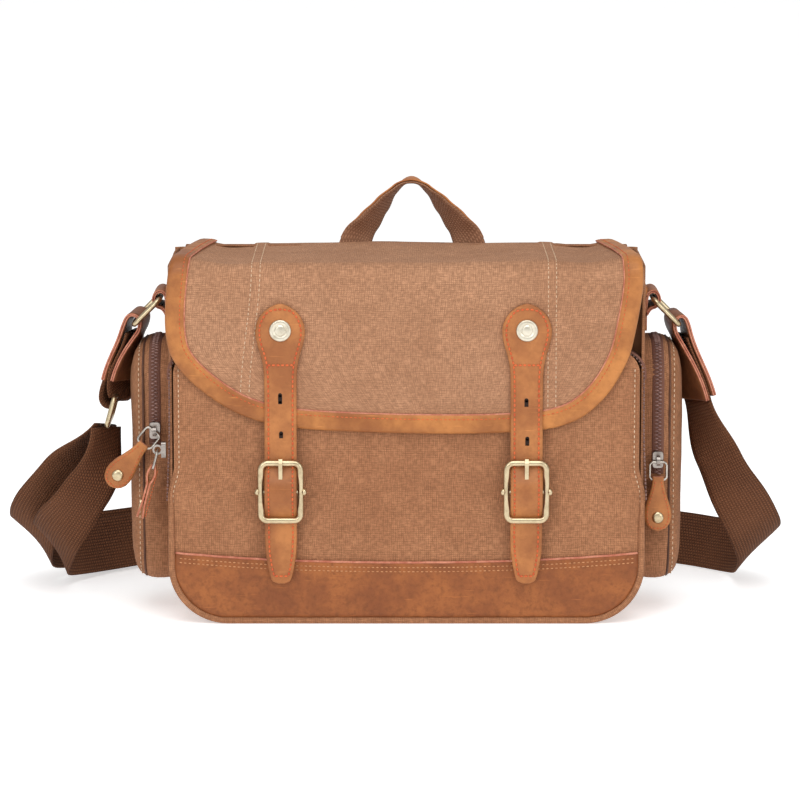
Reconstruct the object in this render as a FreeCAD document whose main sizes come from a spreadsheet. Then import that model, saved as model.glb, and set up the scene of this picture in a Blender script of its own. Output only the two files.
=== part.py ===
import FreeCAD, Part
import math
import os
import re
import Sketcher
from FreeCAD import Placement, Rotation, Vector

# A canvas messenger bag with a two-strap flap, zipped side and front pockets, a carrying
# handle and a shoulder strap that lies behind it. Millimetres. +X is to the right of someone
# who faces the bag, +Y goes to its back and +Z up. The origin is the middle of the base.
SIZES = {
    "bag_width": 320.0, "bag_depth": 112.0, "wall_height": 242.0, "corner_radius": 40.0,
    "canvas": 2.0, "piping_width": 4.5, "piping_proud": 2.5, "front_piping_height": 95.0,
    "trim_height": 42.0, "trim_leather": 1.6, "board_thickness": 2.5, "board_clearance": 0.5,
    "front_pocket_depth": 14.0, "front_pocket_height": 186.0, "front_pocket_radius": 16.0,
    "zip_tape": 1.4, "zip_seam": 4.0, "coil_proud": 0.9, "coil_width": 4.6, "front_coil_low": 99.0,
    "front_coil_setback": 3.2,
    "side_front": -30.0, "side_back": 46.0, "side_low": 22.0, "side_high": 186.0,
    "side_bulge": 25.0, "side_radius": 24.0, "side_rounding": 13.0, "side_wall": 1.6,
    "side_coil_low": 100.0, "side_coil_offset": 7.4,
    "flap_canvas": 2.6, "flap_inset": 4.0, "flap_low": 129.0, "flap_radius": 60.0,
    "binding_width": 13.0, "binding_proud": 0.4, "flap_gap": 0.4,
    "strap_spacing": 164.0, "strap_shift": -2.0, "strap_width": 21.5, "strap_leather": 2.4,
    "strap_head_radius": 16.5, "strap_head_height": 198.0, "strap_tip_height": 27.5,
    "strap_lap": 10.0, "fit_gap": 0.3, "cap_radius": 7.5, "cap_thickness": 1.6,
    "buckle_width": 30.0, "buckle_height": 43.0, "buckle_wire": 3.4, "buckle_centre": 92.0,
    "buckle_corner": 5.0, "bar_seat": 0.3, "bar_wire": 2.2, "collar_radius": 2.3, "collar_length": 1.9,
    "prong_wire": 2.5, "prong_clearance": 0.05, "prong_eye": 2.3,
    "snap_radius": 7.0, "snap_height": 56.0, "snap_tab_high": 68.0, "snap_tab_leather": 1.7,
    "slider_width": 7.0, "slider_length": 11.0, "slider_body": 3.0, "eye_radius": 2.2,
    "eye_wall": 1.2, "eye_set": 0.4, "eye_width": 2.4, "pull_wire": 1.6, "pull_span": 11.4,
    "pull_ring_length": 12.0, "pull_ring_corner": 2.5, "tag_leather": 3.4, "tag_neck": 7.0,
    "tag_radius": 9.0, "tag_length": 37.0, "tag_hole": 1.1, "rivet_radius": 4.0,
    "rivet_proud": 1.0, "right_slider_height": 108.0, "left_slider_height": 128.0,
    "front_slider_height": 118.0, "left_pull_tilt": 40.0, "front_pull_lean": 15.0,
    "anchor_width": 34.0, "anchor_low": 192.0, "anchor_high": 222.0, "anchor_leather": 3.0,
    "ring_axis_height": 214.0, "ring_wire": 3.6, "ring_span": 44.0,
    "strap_tuck": 0.7, "ring_corner": 4.0, "loop_clearance": 0.4, "loop_leather": 1.8,
    "webbing_width": 38.0, "webbing_cord": 8.0, "strap_end_thickness": 5.0,
    "right_end_length": 56.0, "left_end_length": 42.0, "strap_end_angle": 15.5,
    "tab_thickness": 4.4, "tab_length": 10.0, "lower_ring_length": 20.0,
    "adjuster_length": 24.0, "adjuster_span": 43.0, "adjuster_wire": 3.0,
    "handle_width": 84.0, "handle_shift": 3.0, "handle_rise": 47.0, "handle_sewn": 20.0,
    "handle_radius": 34.0, "handle_webbing": 3.0, "handle_leather": 1.6,
    "handle_depth": 22.0, "handle_leather_sewn": 6.0,
}
document = FreeCAD.newDocument("MessengerBag")
sheet = document.addObject("Spreadsheet::Sheet", "Sizes")
for row, (alias, size) in enumerate(SIZES.items(), 1):
    sheet.set(f"A{row}", alias)
    sheet.set(f"B{row}", str(size))
    sheet.setAlias(f"B{row}", alias)
document.recompute()


def bound(formula):
    """The formula with every size's name pointing at its cell in the sheet."""
    return re.sub(r"[a-z_]+", lambda word: f"Sizes.{word[0]}" if word[0] in SIZES else word[0], formula)


def value(formula):
    return float(sheet.evalExpression(bound(formula)))


PIECES = {}


def keep(name, piece):
    piece.Label = name
    PIECES[name] = piece
    return piece


def new_body(name, kept=True):
    body = document.addObject("PartDesign::Body", name)
    return keep(name, body) if kept else body


def new_sketch(body, role, name):
    plane = next(feature for feature in body.Origin.OriginFeatures if feature.Role == role)
    sketch = body.newObject("Sketcher::SketchObject", name)
    sketch.AttachmentSupport = (plane, [""])
    sketch.MapMode = "FlatFace"
    return sketch


def datum(sketch, kind, where, formula):
    number = sketch.addConstraint(Sketcher.Constraint(kind, *where, value(formula)))
    sketch.setExpression(f"Constraints[{number}]", bound(formula))


def line(sketch, start, end):
    return sketch.addGeometry(Part.LineSegment(Vector(*start, 0), Vector(*end, 0)), False)


def quarter(sketch, centre, radius, start):
    circle = Part.Circle(Vector(*centre, 0), Vector(0, 0, 1), radius)
    ends = math.radians(start), math.radians(start + 90)
    return sketch.addGeometry(Part.ArcOfCircle(circle, *ends), False)


def outline(sketch, left, right, low, high, low_radius=None, high_radius=None):
    """A rectangle whose lower and upper corners may be rounded."""
    x0, x1, z0, z1 = (value(formula) for formula in (left, right, low, high))
    under, over = (value(radius) if radius else 0.0 for radius in (low_radius, high_radius))
    sides = [line(sketch, (x0 + under, z0), (x1 - under, z0)),
             line(sketch, (x1, z0 + under), (x1, z1 - over)),
             line(sketch, (x1 - over, z1), (x0 + over, z1)),
             line(sketch, (x0, z1 - over), (x0, z0 + under))]
    corners = [((x1 - under, z0 + under), -90, low_radius), ((x1 - over, z1 - over), 0, high_radius),
               ((x0 + over, z1 - over), 90, high_radius), ((x0 + under, z0 + under), 180, low_radius)]
    for number, (centre, start, radius) in enumerate(corners):
        here, following = sides[number], sides[(number + 1) % 4]
        if radius is None:
            sketch.addConstraint(Sketcher.Constraint("Coincident", here, 2, following, 1))
            continue
        arc = quarter(sketch, centre, value(radius), start)
        sketch.addConstraint(Sketcher.Constraint("Tangent", here, 2, arc, 1))
        sketch.addConstraint(Sketcher.Constraint("Tangent", arc, 2, following, 1))
        datum(sketch, "Radius", (arc,), radius)
    for number, side in enumerate(sides):
        sketch.addConstraint(Sketcher.Constraint("Vertical" if number % 2 else "Horizontal", side))
    datum(sketch, "DistanceX", (-1, 1, sides[3], 1), left)
    datum(sketch, "DistanceX", (-1, 1, sides[1], 1), right)
    datum(sketch, "DistanceY", (-1, 1, sides[0], 1), low)
    datum(sketch, "DistanceY", (-1, 1, sides[2], 1), high)


def polygon(sketch, points):
    """Straight sides through points given as pairs of formulas."""
    places = [(value(across), value(up)) for across, up in points]
    sides = [line(sketch, place, places[(number + 1) % len(places)]) for number, place in enumerate(places)]
    for number, (across, up) in enumerate(points):
        sketch.addConstraint(Sketcher.Constraint("Coincident", sides[number - 1], 2, sides[number], 1))
        datum(sketch, "DistanceX", (-1, 1, sides[number], 1), across)
        datum(sketch, "DistanceY", (-1, 1, sides[number], 1), up)


def disc(sketch, across, up, radius):
    centre = Vector(value(across), value(up), 0)
    circle = sketch.addGeometry(Part.Circle(centre, Vector(0, 0, 1), value(radius)), False)
    datum(sketch, "Radius", (circle,), radius)
    for kind, formula in (("DistanceX", across), ("DistanceY", up)):
        datum(sketch, kind, (-1, 1, circle, 3), formula)


def grow(body, kind, sketch, length, both_ways=False, reverse=False):
    """A pad or a pocket of the sketch: both ways from its plane, or along its normal."""
    feature = body.newObject(f"PartDesign::{kind}", f"{body.Name}_{kind}")
    feature.Profile = sketch
    feature.SideType = "Symmetric" if both_ways else "One side"
    feature.Reversed = reverse
    feature.setExpression("Length", bound(length))
    document.recompute()
    return feature


def place(piece, across=None, deep=None, up=None):
    for axis, formula in (("x", across), ("y", deep), ("z", up)):
        if formula:
            piece.setExpression(f"Placement.Base.{axis}", bound(formula))


def turn(piece, axis, angle):
    piece.Placement.Rotation = Rotation(axis, value(angle))
    piece.setExpression("Placement.Rotation.Angle", bound(f"({angle}) * 1 deg"))


def mirrored(name, source):
    mirror = document.addObject("Part::Mirroring", name)
    mirror.Source = source
    mirror.Normal = Vector(1, 0, 0)
    return keep(name, mirror)


def grouped(name, members):
    """Like pieces on one body, kept together as separate solids of one node."""
    group = document.addObject("Part::Compound", name)
    group.Links = [PIECES.pop(member) for member in members]
    return keep(name, group)


def plate(name, outline_formulas, thickness, deep, kept=True):
    """A flat piece that faces the front: its back lies at the depth `deep`."""
    body = new_body(name, kept)
    sketch = new_sketch(body, "XZ_Plane", f"{name}_outline")
    outline(sketch, *outline_formulas)
    grow(body, "Pad", sketch, thickness)
    place(body, deep=deep)
    return body


def cut_out(body, role, outline_formulas, length, both_ways=True):
    sketch = new_sketch(body, role, f"{body.Name}_cut_outline")
    outline(sketch, *outline_formulas)
    return grow(body, "Pocket", sketch, length, both_ways)


# The bag's walls: front and back panels, the strip that joins them round the sides and the base,
# and the wall between the front pocket and the main compartment.
HALF = "bag_width/2"
FRONT = "-bag_depth/2"
BACK = "bag_depth/2"
PANEL = ("-bag_width/2", HALF, "0", "wall_height", "corner_radius")
plate("back_panel", PANEL, "canvas", BACK)
plate("front_panel", (*PANEL[:3], "front_pocket_height", "corner_radius", "front_pocket_radius"),
      "canvas", f"{FRONT} + canvas")
INNER = ("-bag_width/2 + canvas", "bag_width/2 - canvas", "canvas", "wall_height", "corner_radius - canvas")
INNER_WALL_BACK = f"({FRONT} + 2*canvas + front_pocket_depth)"
plate("inner_wall", INNER, "canvas", INNER_WALL_BACK)

gusset = new_body("gusset")
gusset_outline = new_sketch(gusset, "XZ_Plane", "gusset_outline")
outline(gusset_outline, *PANEL)
grow(gusset, "Pad", gusset_outline, "bag_depth - 2*canvas", both_ways=True)
cut_out(gusset, "XZ_Plane", (*INNER[:3], "wall_height + canvas", INNER[4]), "bag_depth")
ARCH_LOW = "(front_pocket_height - front_pocket_radius - zip_seam)"
cut_out(gusset, "YZ_Plane", (FRONT, f"{INNER_WALL_BACK} - canvas", ARCH_LOW, "wall_height + canvas"),
        "bag_width + canvas")

# Piping: a covered cord round the edge of each panel, front and back.
PIPED = ("-bag_width/2 + piping_width", "bag_width/2 - piping_width", "piping_width")
for side, top, deep in (("front", "front_piping_height", FRONT), ("back", "wall_height", f"{BACK} + piping_proud")):
    piping = plate(f"{side}_piping", (*PANEL[:3], top, "corner_radius"), "piping_proud", deep)
    cut_out(piping, "XZ_Plane", (*PIPED, f"{top} + canvas", "corner_radius - piping_width"), "4*piping_proud")
grouped("piping", ["front_piping", "back_piping"])

# The leather across the foot of the front panel, and the stiff board inside the base.
plate("base_trim", (*PIPED, "trim_height", "corner_radius - piping_width", None), "trim_leather", FRONT)
board = keep("base_board", document.addObject("Part::Box", "base_board"))
board.setExpression("Length", bound("bag_width - 2*corner_radius"))
board.setExpression("Width", bound(f"{BACK} - canvas - {INNER_WALL_BACK} - 2*board_clearance"))
board.setExpression("Height", bound("board_thickness"))
place(board, "corner_radius - bag_width/2", f"{INNER_WALL_BACK} + board_clearance", "canvas")

# The front pocket's zip: the tape that closes its top, and the coil that goes on down its sides.
TAPE_BACK = f"({INNER_WALL_BACK} - canvas)"
tape = plate("front_zip_tape", ("-bag_width/2", HALF, ARCH_LOW, "front_pocket_height", None, "front_pocket_radius"),
             "front_pocket_depth", TAPE_BACK)
cut_out(tape, "XZ_Plane", ("zip_tape - bag_width/2", "bag_width/2 - zip_tape", f"{ARCH_LOW} - zip_tape",
                           "front_pocket_height - zip_tape", None, "front_pocket_radius - zip_tape"), "bag_depth")
COIL_OUT = "(bag_width/2 + coil_proud)"
COIL_BACK = f"({FRONT} + front_coil_setback + coil_width)"
coil = plate("front_zip_coil", (f"-{COIL_OUT}", COIL_OUT, "front_coil_low", "front_pocket_height + coil_proud",
                                None, "front_pocket_radius + coil_proud"), "coil_width", COIL_BACK)
cut_out(coil, "XZ_Plane", ("-bag_width/2", HALF, "front_coil_low - zip_tape", "front_pocket_height",
                           None, "front_pocket_radius"), "bag_depth")

# The side pockets: rounded shells on the gusset, each with a zip that arches over its front edge.
SIDE = ("side_front", "side_back", "side_low", "side_high")
pocket = new_body("side_pocket_right")
pocket_outline = new_sketch(pocket, "YZ_Plane", "side_pocket_outline")
outline(pocket_outline, *SIDE, "side_radius", "side_radius")
pocket_pad = grow(pocket, "Pad", pocket_outline, "side_bulge")
outer = [f"Edge{number}" for number, edge in enumerate(pocket_pad.Shape.Edges, 1)
         if edge.BoundBox.XMin > value("side_bulge") - 1e-3]
rounding = pocket.newObject("PartDesign::Fillet", "side_pocket_rounding")
rounding.Base = (pocket_pad, outer)
rounding.setExpression("Radius", bound("side_rounding"))
document.recompute()
mouth = [f"Face{number}" for number, face in enumerate(rounding.Shape.Faces, 1) if face.BoundBox.XMax < 1e-3]
hollow = pocket.newObject("PartDesign::Thickness", "side_pocket_hollow")
hollow.Base = (rounding, mouth)
hollow.Reversed = True
hollow.setExpression("Value", bound("side_wall"))
place(pocket, HALF)
mirrored("side_pocket_left", pocket)

side_coil = new_body("side_zip_coil_right")
coil_outline = new_sketch(side_coil, "YZ_Plane", "side_coil_outline")
outline(coil_outline, "side_front - coil_proud", "side_back + coil_proud", "side_coil_low",
        "side_high + coil_proud", None, "side_radius + coil_proud")
grow(side_coil, "Pad", coil_outline, "coil_width")
cut_out(side_coil, "YZ_Plane", (*SIDE[:2], "side_coil_low - zip_tape", "side_high", None, "side_radius"), "bag_width")
place(side_coil, f"{HALF} + side_coil_offset")
mirrored("side_zip_coil_left", side_coil)

# The flap: a part that lies on top, hinged at the bag's back, and a part that hangs down the front,
# hinged at the front edge. Leather binds its edges.
FLAP_HALF = "(bag_width/2 - flap_inset)"
FLAP_INNER = f"({FLAP_HALF} - binding_width)"
flap_top = new_body("flap_top")
flap_top_outline = new_sketch(flap_top, "XY_Plane", "flap_top_outline")
outline(flap_top_outline, f"-{FLAP_INNER}", FLAP_INNER, FRONT, f"{BACK} - fit_gap")
grow(flap_top, "Pad", flap_top_outline, "flap_canvas")
place(flap_top, up="wall_height + fit_gap")
edge = new_body("flap_edge_right")
edge_outline = new_sketch(edge, "XY_Plane", "flap_edge_outline")
outline(edge_outline, FLAP_INNER, FLAP_HALF, FRONT, f"{BACK} - fit_gap")
grow(edge, "Pad", edge_outline, "flap_canvas + binding_proud")
place(edge, up="wall_height + fit_gap")
mirrored("flap_edge_left", edge)
grouped("flap_edges", ["flap_edge_left", "flap_edge_right"])

FLAP_BACK = f"({FRONT} - flap_gap)"
FLAP_FACE = f"({FLAP_BACK} - flap_canvas)"
FLAP_TOP = "(wall_height - fit_gap)"
plate("flap_front", (f"-{FLAP_INNER}", FLAP_INNER, "flap_low + binding_width", FLAP_TOP,
                     "flap_radius - binding_width"), "flap_canvas", FLAP_BACK)
binding = plate("flap_binding", (f"-{FLAP_HALF}", FLAP_HALF, "flap_low", FLAP_TOP, "flap_radius"),
                "flap_canvas", FLAP_BACK)
cut_out(binding, "XZ_Plane", (f"-{FLAP_INNER}", FLAP_INNER, "flap_low + binding_width", "wall_height + canvas",
                              "flap_radius - binding_width"), "bag_depth")

# The two closing straps. The upper part is sewn to the flap. The lower part hangs from it and
# carries a bar buckle, its prong and one half of a magnetic snap. The snap's other half is on a
# leather tab that comes out of the seam above the base trim.
LOWER_BACK = f"({FLAP_FACE} - strap_leather - fit_gap)"
LOWER_FACE = f"({LOWER_BACK} - strap_leather)"
WIRE_DEEP = f"({LOWER_FACE} - fit_gap - prong_eye)"
BAR_LENGTH = "buckle_width - 2*buckle_wire + 2*bar_seat"
strap_places = {"left": "(strap_shift - strap_spacing/2)", "right": "(strap_shift + strap_spacing/2)"}


def round_wire(body, role, across, along, corner, wire, start=0):
    """A closed wire link on the body's origin, from `start` on along its length."""
    other = {"XZ_Plane": "YZ_Plane", "XY_Plane": "YZ_Plane"}[role]
    spine = new_sketch(body, role, f"{body.Name}_path")
    outline(spine, f"-({across})/2", f"({across})/2", str(start), f"{start} + {along}", corner, corner)
    section = new_sketch(body, other, f"{body.Name}_section")
    middle = ("0", str(start)) if role == "XZ_Plane" else (str(start), "0")
    disc(section, *middle, f"({wire})/2")
    document.recompute()
    pipe = body.newObject("PartDesign::AdditivePipe", f"{body.Name}_pipe")
    pipe.Profile = section
    pipe.Spine = (spine, [f"Edge{number}" for number in range(1, 9)])
    document.recompute()


for side, across in strap_places.items():
    upper = plate(f"strap_upper_{side}", ("-strap_width/2", "strap_width/2", "flap_low", "strap_head_height"),
                  "strap_leather", FLAP_FACE)
    head = new_sketch(upper, "XZ_Plane", f"strap_head_{side}")
    disc(head, "0", "strap_head_height", "strap_head_radius")
    grow(upper, "Pad", head, "strap_leather")
    place(upper, across)

    cap = new_body(f"snap_cap_{side}")
    cap_disc = new_sketch(cap, "XZ_Plane", f"snap_cap_disc_{side}")
    disc(cap_disc, "0", "strap_head_height", "cap_radius")
    grow(cap, "Pad", cap_disc, "cap_thickness")
    place(cap, across, f"{FLAP_FACE} - strap_leather")

    lower = plate(f"strap_lower_{side}", ("-strap_width/2", "strap_width/2", "strap_tip_height",
                                          "flap_low + strap_lap", "strap_width/2 - 0.5"),
                  "strap_leather", LOWER_BACK)
    place(lower, across)

    stud = new_body(f"snap_stud_{side}")
    stud_disc = new_sketch(stud, "XZ_Plane", f"snap_stud_disc_{side}")
    disc(stud_disc, "0", "snap_height", "snap_radius")
    TAB_FACE = f"({FRONT} - fit_gap - snap_tab_leather)"
    grow(stud, "Pad", stud_disc, f"({TAB_FACE} - {LOWER_BACK} - fit_gap)/2")
    place(stud, across, f"{LOWER_BACK} + ({TAB_FACE} - {LOWER_BACK} - fit_gap)/2")

    tab = plate(f"snap_tab_{side}", ("-strap_width/2 + 0.5", "strap_width/2 - 0.5", "trim_height", "snap_tab_high",
                                     None, "snap_radius"), "snap_tab_leather", f"{FRONT} - fit_gap")
    place(tab, across)
    socket = new_body(f"snap_socket_{side}")
    socket_disc = new_sketch(socket, "XZ_Plane", f"snap_socket_disc_{side}")
    disc(socket_disc, "0", "snap_height", "snap_radius")
    grow(socket, "Pad", socket_disc, f"({TAB_FACE} - {LOWER_BACK} - fit_gap)/2")
    place(socket, across, TAB_FACE)

    frame = new_body(f"buckle_frame_{side}")
    round_wire(frame, "XZ_Plane", "buckle_width - buckle_wire", "buckle_height - buckle_wire",
               "buckle_corner", "buckle_wire", "-(buckle_height - buckle_wire)/2")
    collar = new_sketch(frame, "YZ_Plane", f"buckle_collar_{side}")
    disc(collar, "0", "0", "collar_radius")
    grow(frame, "Pad", collar, "buckle_width + 2*collar_length", both_ways=True)
    opening = new_sketch(frame, "YZ_Plane", f"buckle_opening_{side}")
    disc(opening, "0", "0", "collar_radius + buckle_wire")
    grow(frame, "Pocket", opening, BAR_LENGTH, both_ways=True)
    place(frame, across, WIRE_DEEP, "buckle_centre")

    bar = new_body(f"buckle_bar_{side}")
    bar_disc = new_sketch(bar, "YZ_Plane", f"buckle_bar_disc_{side}")
    disc(bar_disc, "0", "0", "bar_wire/2")
    grow(bar, "Pad", bar_disc, BAR_LENGTH, both_ways=True)
    place(bar, across, WIRE_DEEP, "buckle_centre")

    # The prong turns on the bar and rests against the front of the buckle's top wire.
    prong = new_body(f"prong_{side}")
    eye = new_sketch(prong, "YZ_Plane", f"prong_eye_{side}")
    disc(eye, "0", "0", "prong_eye")
    grow(prong, "Pad", eye, "prong_wire", both_ways=True)
    pin = new_sketch(prong, "YZ_Plane", f"prong_pin_{side}")
    TIP_FRONT = "(buckle_wire/2 + fit_gap)"
    TIP_HEIGHT = "(buckle_height/2 + prong_wire/2)"
    polygon(pin, [("-bar_wire/2 - 0.3", "0"), ("-prong_eye", "0"),
                  (f"-{TIP_FRONT} - prong_wire", f"{TIP_HEIGHT} - prong_wire"),
                  (f"-{TIP_FRONT} - prong_wire/2", TIP_HEIGHT),
                  (f"-{TIP_FRONT}", TIP_HEIGHT), (f"-{TIP_FRONT}", "buckle_height/2 - 2*buckle_wire")])
    grow(prong, "Pad", pin, "prong_wire", both_ways=True)
    hole = new_sketch(prong, "YZ_Plane", f"prong_hole_{side}")
    disc(hole, "0", "0", "bar_wire/2 + prong_clearance")
    grow(prong, "Pocket", hole, "2*prong_wire", both_ways=True)
    place(prong, across, WIRE_DEEP, "buckle_centre")

for fitting in ("snap_cap", "snap_tab", "snap_socket"):
    grouped(f"{fitting}s", [f"{fitting}_{side}" for side in strap_places])

# Zip sliders and their pulls. Each is drawn facing the front: the slider on the coil, its eye,
# a wire link in the eye, and a riveted leather tag on the link.
# A level link rests in the bottom of its eye; a tilted one fills the eye from side to side.
EYE_DEEP = "-(slider_body + eye_radius + eye_set)"
HANG = "-(eye_radius - pull_wire/2 - fit_gap)"


def zip_slider(side, spot, tilt_axis=None, tilt=None, faces_left=False):
    def settle(piece, offset="0", leaning=False):
        base = list(spot)
        base[0 if faces_left else 1] += f" + {EYE_DEEP}"
        base[2] += f" + {offset}"
        place(piece, *base)
        facing = Rotation(Vector(0, 0, 1), -90.0 if faces_left else 0.0)
        lean = Rotation(tilt_axis, value(tilt)) if leaning and tilt else Rotation()
        piece.Placement.Rotation = facing * lean

    hang = "0" if tilt_axis and tilt_axis.y else HANG
    slider = new_body(f"slider_{side}")
    block = new_sketch(slider, "XZ_Plane", f"slider_block_{side}")
    outline(block, "-slider_width/2", "slider_width/2", "-slider_length/2", "slider_length/2",
            "slider_width/4", "slider_width/4")
    grow(slider, "Pad", block, "slider_body")
    eye = new_sketch(slider, "YZ_Plane", f"slider_eye_{side}")
    disc(eye, EYE_DEEP, "0", "eye_radius + eye_wall")
    grow(slider, "Pad", eye, "eye_width", both_ways=True)
    hole = new_sketch(slider, "YZ_Plane", f"slider_hole_{side}")
    disc(hole, EYE_DEEP, "0", "eye_radius")
    grow(slider, "Pocket", hole, "2*slider_width", both_ways=True)
    place(slider, *spot)
    slider.Placement.Rotation = Rotation(Vector(0, 0, 1), -90.0 if faces_left else 0.0)

    link = new_body(f"pull_link_{side}")
    round_wire(link, "XZ_Plane", "pull_span", "pull_ring_length", "pull_ring_corner", "pull_wire",
               "-pull_ring_length")
    tag = new_body(f"pull_tag_{side}")
    shape = new_sketch(tag, "XZ_Plane", f"pull_tag_outline_{side}")
    TAG_HIGH = "(-pull_ring_length + tag_hole + eye_wall)"
    TAG_ROUND = f"({TAG_HIGH} - tag_length + tag_radius)"
    polygon(shape, [("-tag_neck/2", f"{TAG_HIGH} - 8"), ("-tag_radius + 0.3", f"{TAG_ROUND} + 1"),
                    ("tag_radius - 0.3", f"{TAG_ROUND} + 1"), ("tag_neck/2", f"{TAG_HIGH} - 8"),
                    ("tag_neck/2", TAG_HIGH), ("-tag_neck/2", TAG_HIGH)])
    grow(tag, "Pad", shape, "tag_leather", both_ways=True)
    foot = new_sketch(tag, "XZ_Plane", f"pull_tag_foot_{side}")
    disc(foot, "0", TAG_ROUND, "tag_radius")
    grow(tag, "Pad", foot, "tag_leather", both_ways=True)
    bore = new_sketch(tag, "YZ_Plane", f"pull_tag_bore_{side}")
    disc(bore, "0", "-pull_ring_length", "tag_hole")
    grow(tag, "Pocket", bore, "4*tag_radius", both_ways=True)
    rivet = new_body(f"pull_rivet_{side}")
    dome = new_sketch(rivet, "XZ_Plane", f"pull_rivet_disc_{side}")
    disc(dome, "0", TAG_ROUND, "rivet_radius")
    grow(rivet, "Pad", dome, "tag_leather/2 + rivet_proud")
    skirt = new_sketch(rivet, "XZ_Plane", f"pull_rivet_inside_{side}")
    disc(skirt, "0", TAG_ROUND, "rivet_radius + 1")
    grow(rivet, "Pocket", skirt, "tag_leather", both_ways=True)
    for piece in (link, tag, rivet):
        settle(piece, hang, leaning=True)


SIDE_ZIP_OUT = f"({HALF} + side_coil_offset + coil_width/2)"
SIDE_ZIP_DEEP = "side_front - coil_proud - fit_gap"
zip_slider("right", (SIDE_ZIP_OUT, SIDE_ZIP_DEEP, "right_slider_height"))
zip_slider("left", (f"-{SIDE_ZIP_OUT}", SIDE_ZIP_DEEP, "left_slider_height"),
           Vector(0, 1, 0), "left_pull_tilt")
zip_slider("front", (f"-{COIL_OUT} - fit_gap", f"{COIL_BACK} - coil_width/2", "front_slider_height"),
           Vector(1, 0, 0), "-front_pull_lean", faces_left=True)

# The shoulder strap's anchors: a leather patch on each gusset and a leather loop round the ring.
STRAP_DEEP = "((side_front + side_back)/2)"
RING_OUT = f"({HALF} + anchor_leather + fit_gap + ring_wire/2 + loop_clearance + loop_leather)"
REACH = f"({HALF} + side_bulge - strap_tuck - {RING_OUT})"
anchor = new_body("anchor_patch_right")
anchor_outline = new_sketch(anchor, "YZ_Plane", "anchor_outline")
outline(anchor_outline, "-anchor_width/2", "anchor_width/2", "anchor_low", "anchor_high", "3", "3")
grow(anchor, "Pad", anchor_outline, "anchor_leather")
place(anchor, HALF, STRAP_DEEP)
mirrored("anchor_patch_left", anchor)


def leather_loop(body, length, wire):
    """A tube of leather round a wire that lies on the body's origin, along Y."""
    for kind, radius in (("Pad", f"{wire}/2 + loop_clearance + loop_leather"), ("Pocket", f"{wire}/2 + loop_clearance")):
        ring = new_sketch(body, "XZ_Plane", f"{body.Name}_{kind}_circle")
        disc(ring, "0", "0", radius)
        grow(body, kind, ring, length, both_ways=True)


anchor_loop = new_body("anchor_loop_right")
leather_loop(anchor_loop, "anchor_width", "ring_wire")
place(anchor_loop, RING_OUT, STRAP_DEEP, "ring_axis_height")
mirrored("anchor_loop_left", anchor_loop)

ring = new_body("ring_right")
ring_path = new_sketch(ring, "XY_Plane", "ring_path")
outline(ring_path, "0", f"sqrt(2)*{REACH}", "-ring_span/2", "ring_span/2", "ring_corner", "ring_corner")
ring_section = new_sketch(ring, "XZ_Plane", "ring_section")
disc(ring_section, "0", "0", "ring_wire/2")
document.recompute()
ring_pipe = ring.newObject("PartDesign::AdditivePipe", "ring_pipe")
ring_pipe.Profile = ring_section
ring_pipe.Spine = (ring_path, [f"Edge{number}" for number in range(1, 9)])
ring.Placement.Rotation = Rotation(Vector(0, 1, 0), 45.0)
place(ring, RING_OUT, STRAP_DEEP, "ring_axis_height")
mirrored("ring_left", ring)


def strap_piece(name, length, thickness, start, kept=True):
    """A flat piece as wide as the webbing, hanging from a wire `start` along the strap."""
    body = new_body(name, kept)
    flat = new_sketch(body, "XZ_Plane", f"{name}_outline")
    outline(flat, f"-{thickness}/2", f"{thickness}/2", f"-({length})", "0")
    grow(body, "Pad", flat, "webbing_width", both_ways=True)
    leather_loop(body, "webbing_width", "ring_wire")
    body.Placement.Rotation = Rotation(Vector(0, 1, 0), -value("strap_end_angle"))
    place(body, f"{RING_OUT} + {REACH} + ({start})*sin(strap_end_angle*1 deg)", STRAP_DEEP,
          f"ring_axis_height - {REACH} - ({start})*cos(strap_end_angle*1 deg)")
    return body


strap_piece("strap_end_right", "right_end_length", "strap_end_thickness", "0")
mirrored("strap_end_left", strap_piece("strap_end_model", "left_end_length", "strap_end_thickness", "0", kept=False))

# Below the left leather end a short webbing tab carries a second ring.
LOWER_RING = "(left_end_length + fit_gap + tab_length)"
tab_model = new_body("strap_tab_model", kept=False)
tab_flat = new_sketch(tab_model, "XZ_Plane", "strap_tab_outline")
outline(tab_flat, "-tab_thickness/2", "tab_thickness/2", "0", "tab_length")
grow(tab_model, "Pad", tab_flat, "webbing_width", both_ways=True)
leather_loop(tab_model, "webbing_width", "ring_wire")
link_model = new_body("lower_ring_model", kept=False)
link_path = new_sketch(link_model, "YZ_Plane", "lower_ring_path")
outline(link_path, "-ring_span/2", "ring_span/2", "-lower_ring_length", "0", "ring_corner", "ring_corner")
link_section = new_sketch(link_model, "XZ_Plane", "lower_ring_section")
disc(link_section, "0", "0", "ring_wire/2")
document.recompute()
link_pipe = link_model.newObject("PartDesign::AdditivePipe", "lower_ring_pipe")
link_pipe.Profile = link_section
link_pipe.Spine = (link_path, [f"Edge{number}" for number in range(1, 9)])
for model in (tab_model, link_model):
    model.Placement.Rotation = Rotation(Vector(0, 1, 0), -value("strap_end_angle"))
    place(model, f"{RING_OUT} + {REACH} + {LOWER_RING}*sin(strap_end_angle*1 deg)", STRAP_DEEP,
          f"ring_axis_height - {REACH} - {LOWER_RING}*cos(strap_end_angle*1 deg)")
mirrored("strap_tab", tab_model)
mirrored("lower_ring", link_model)

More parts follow.
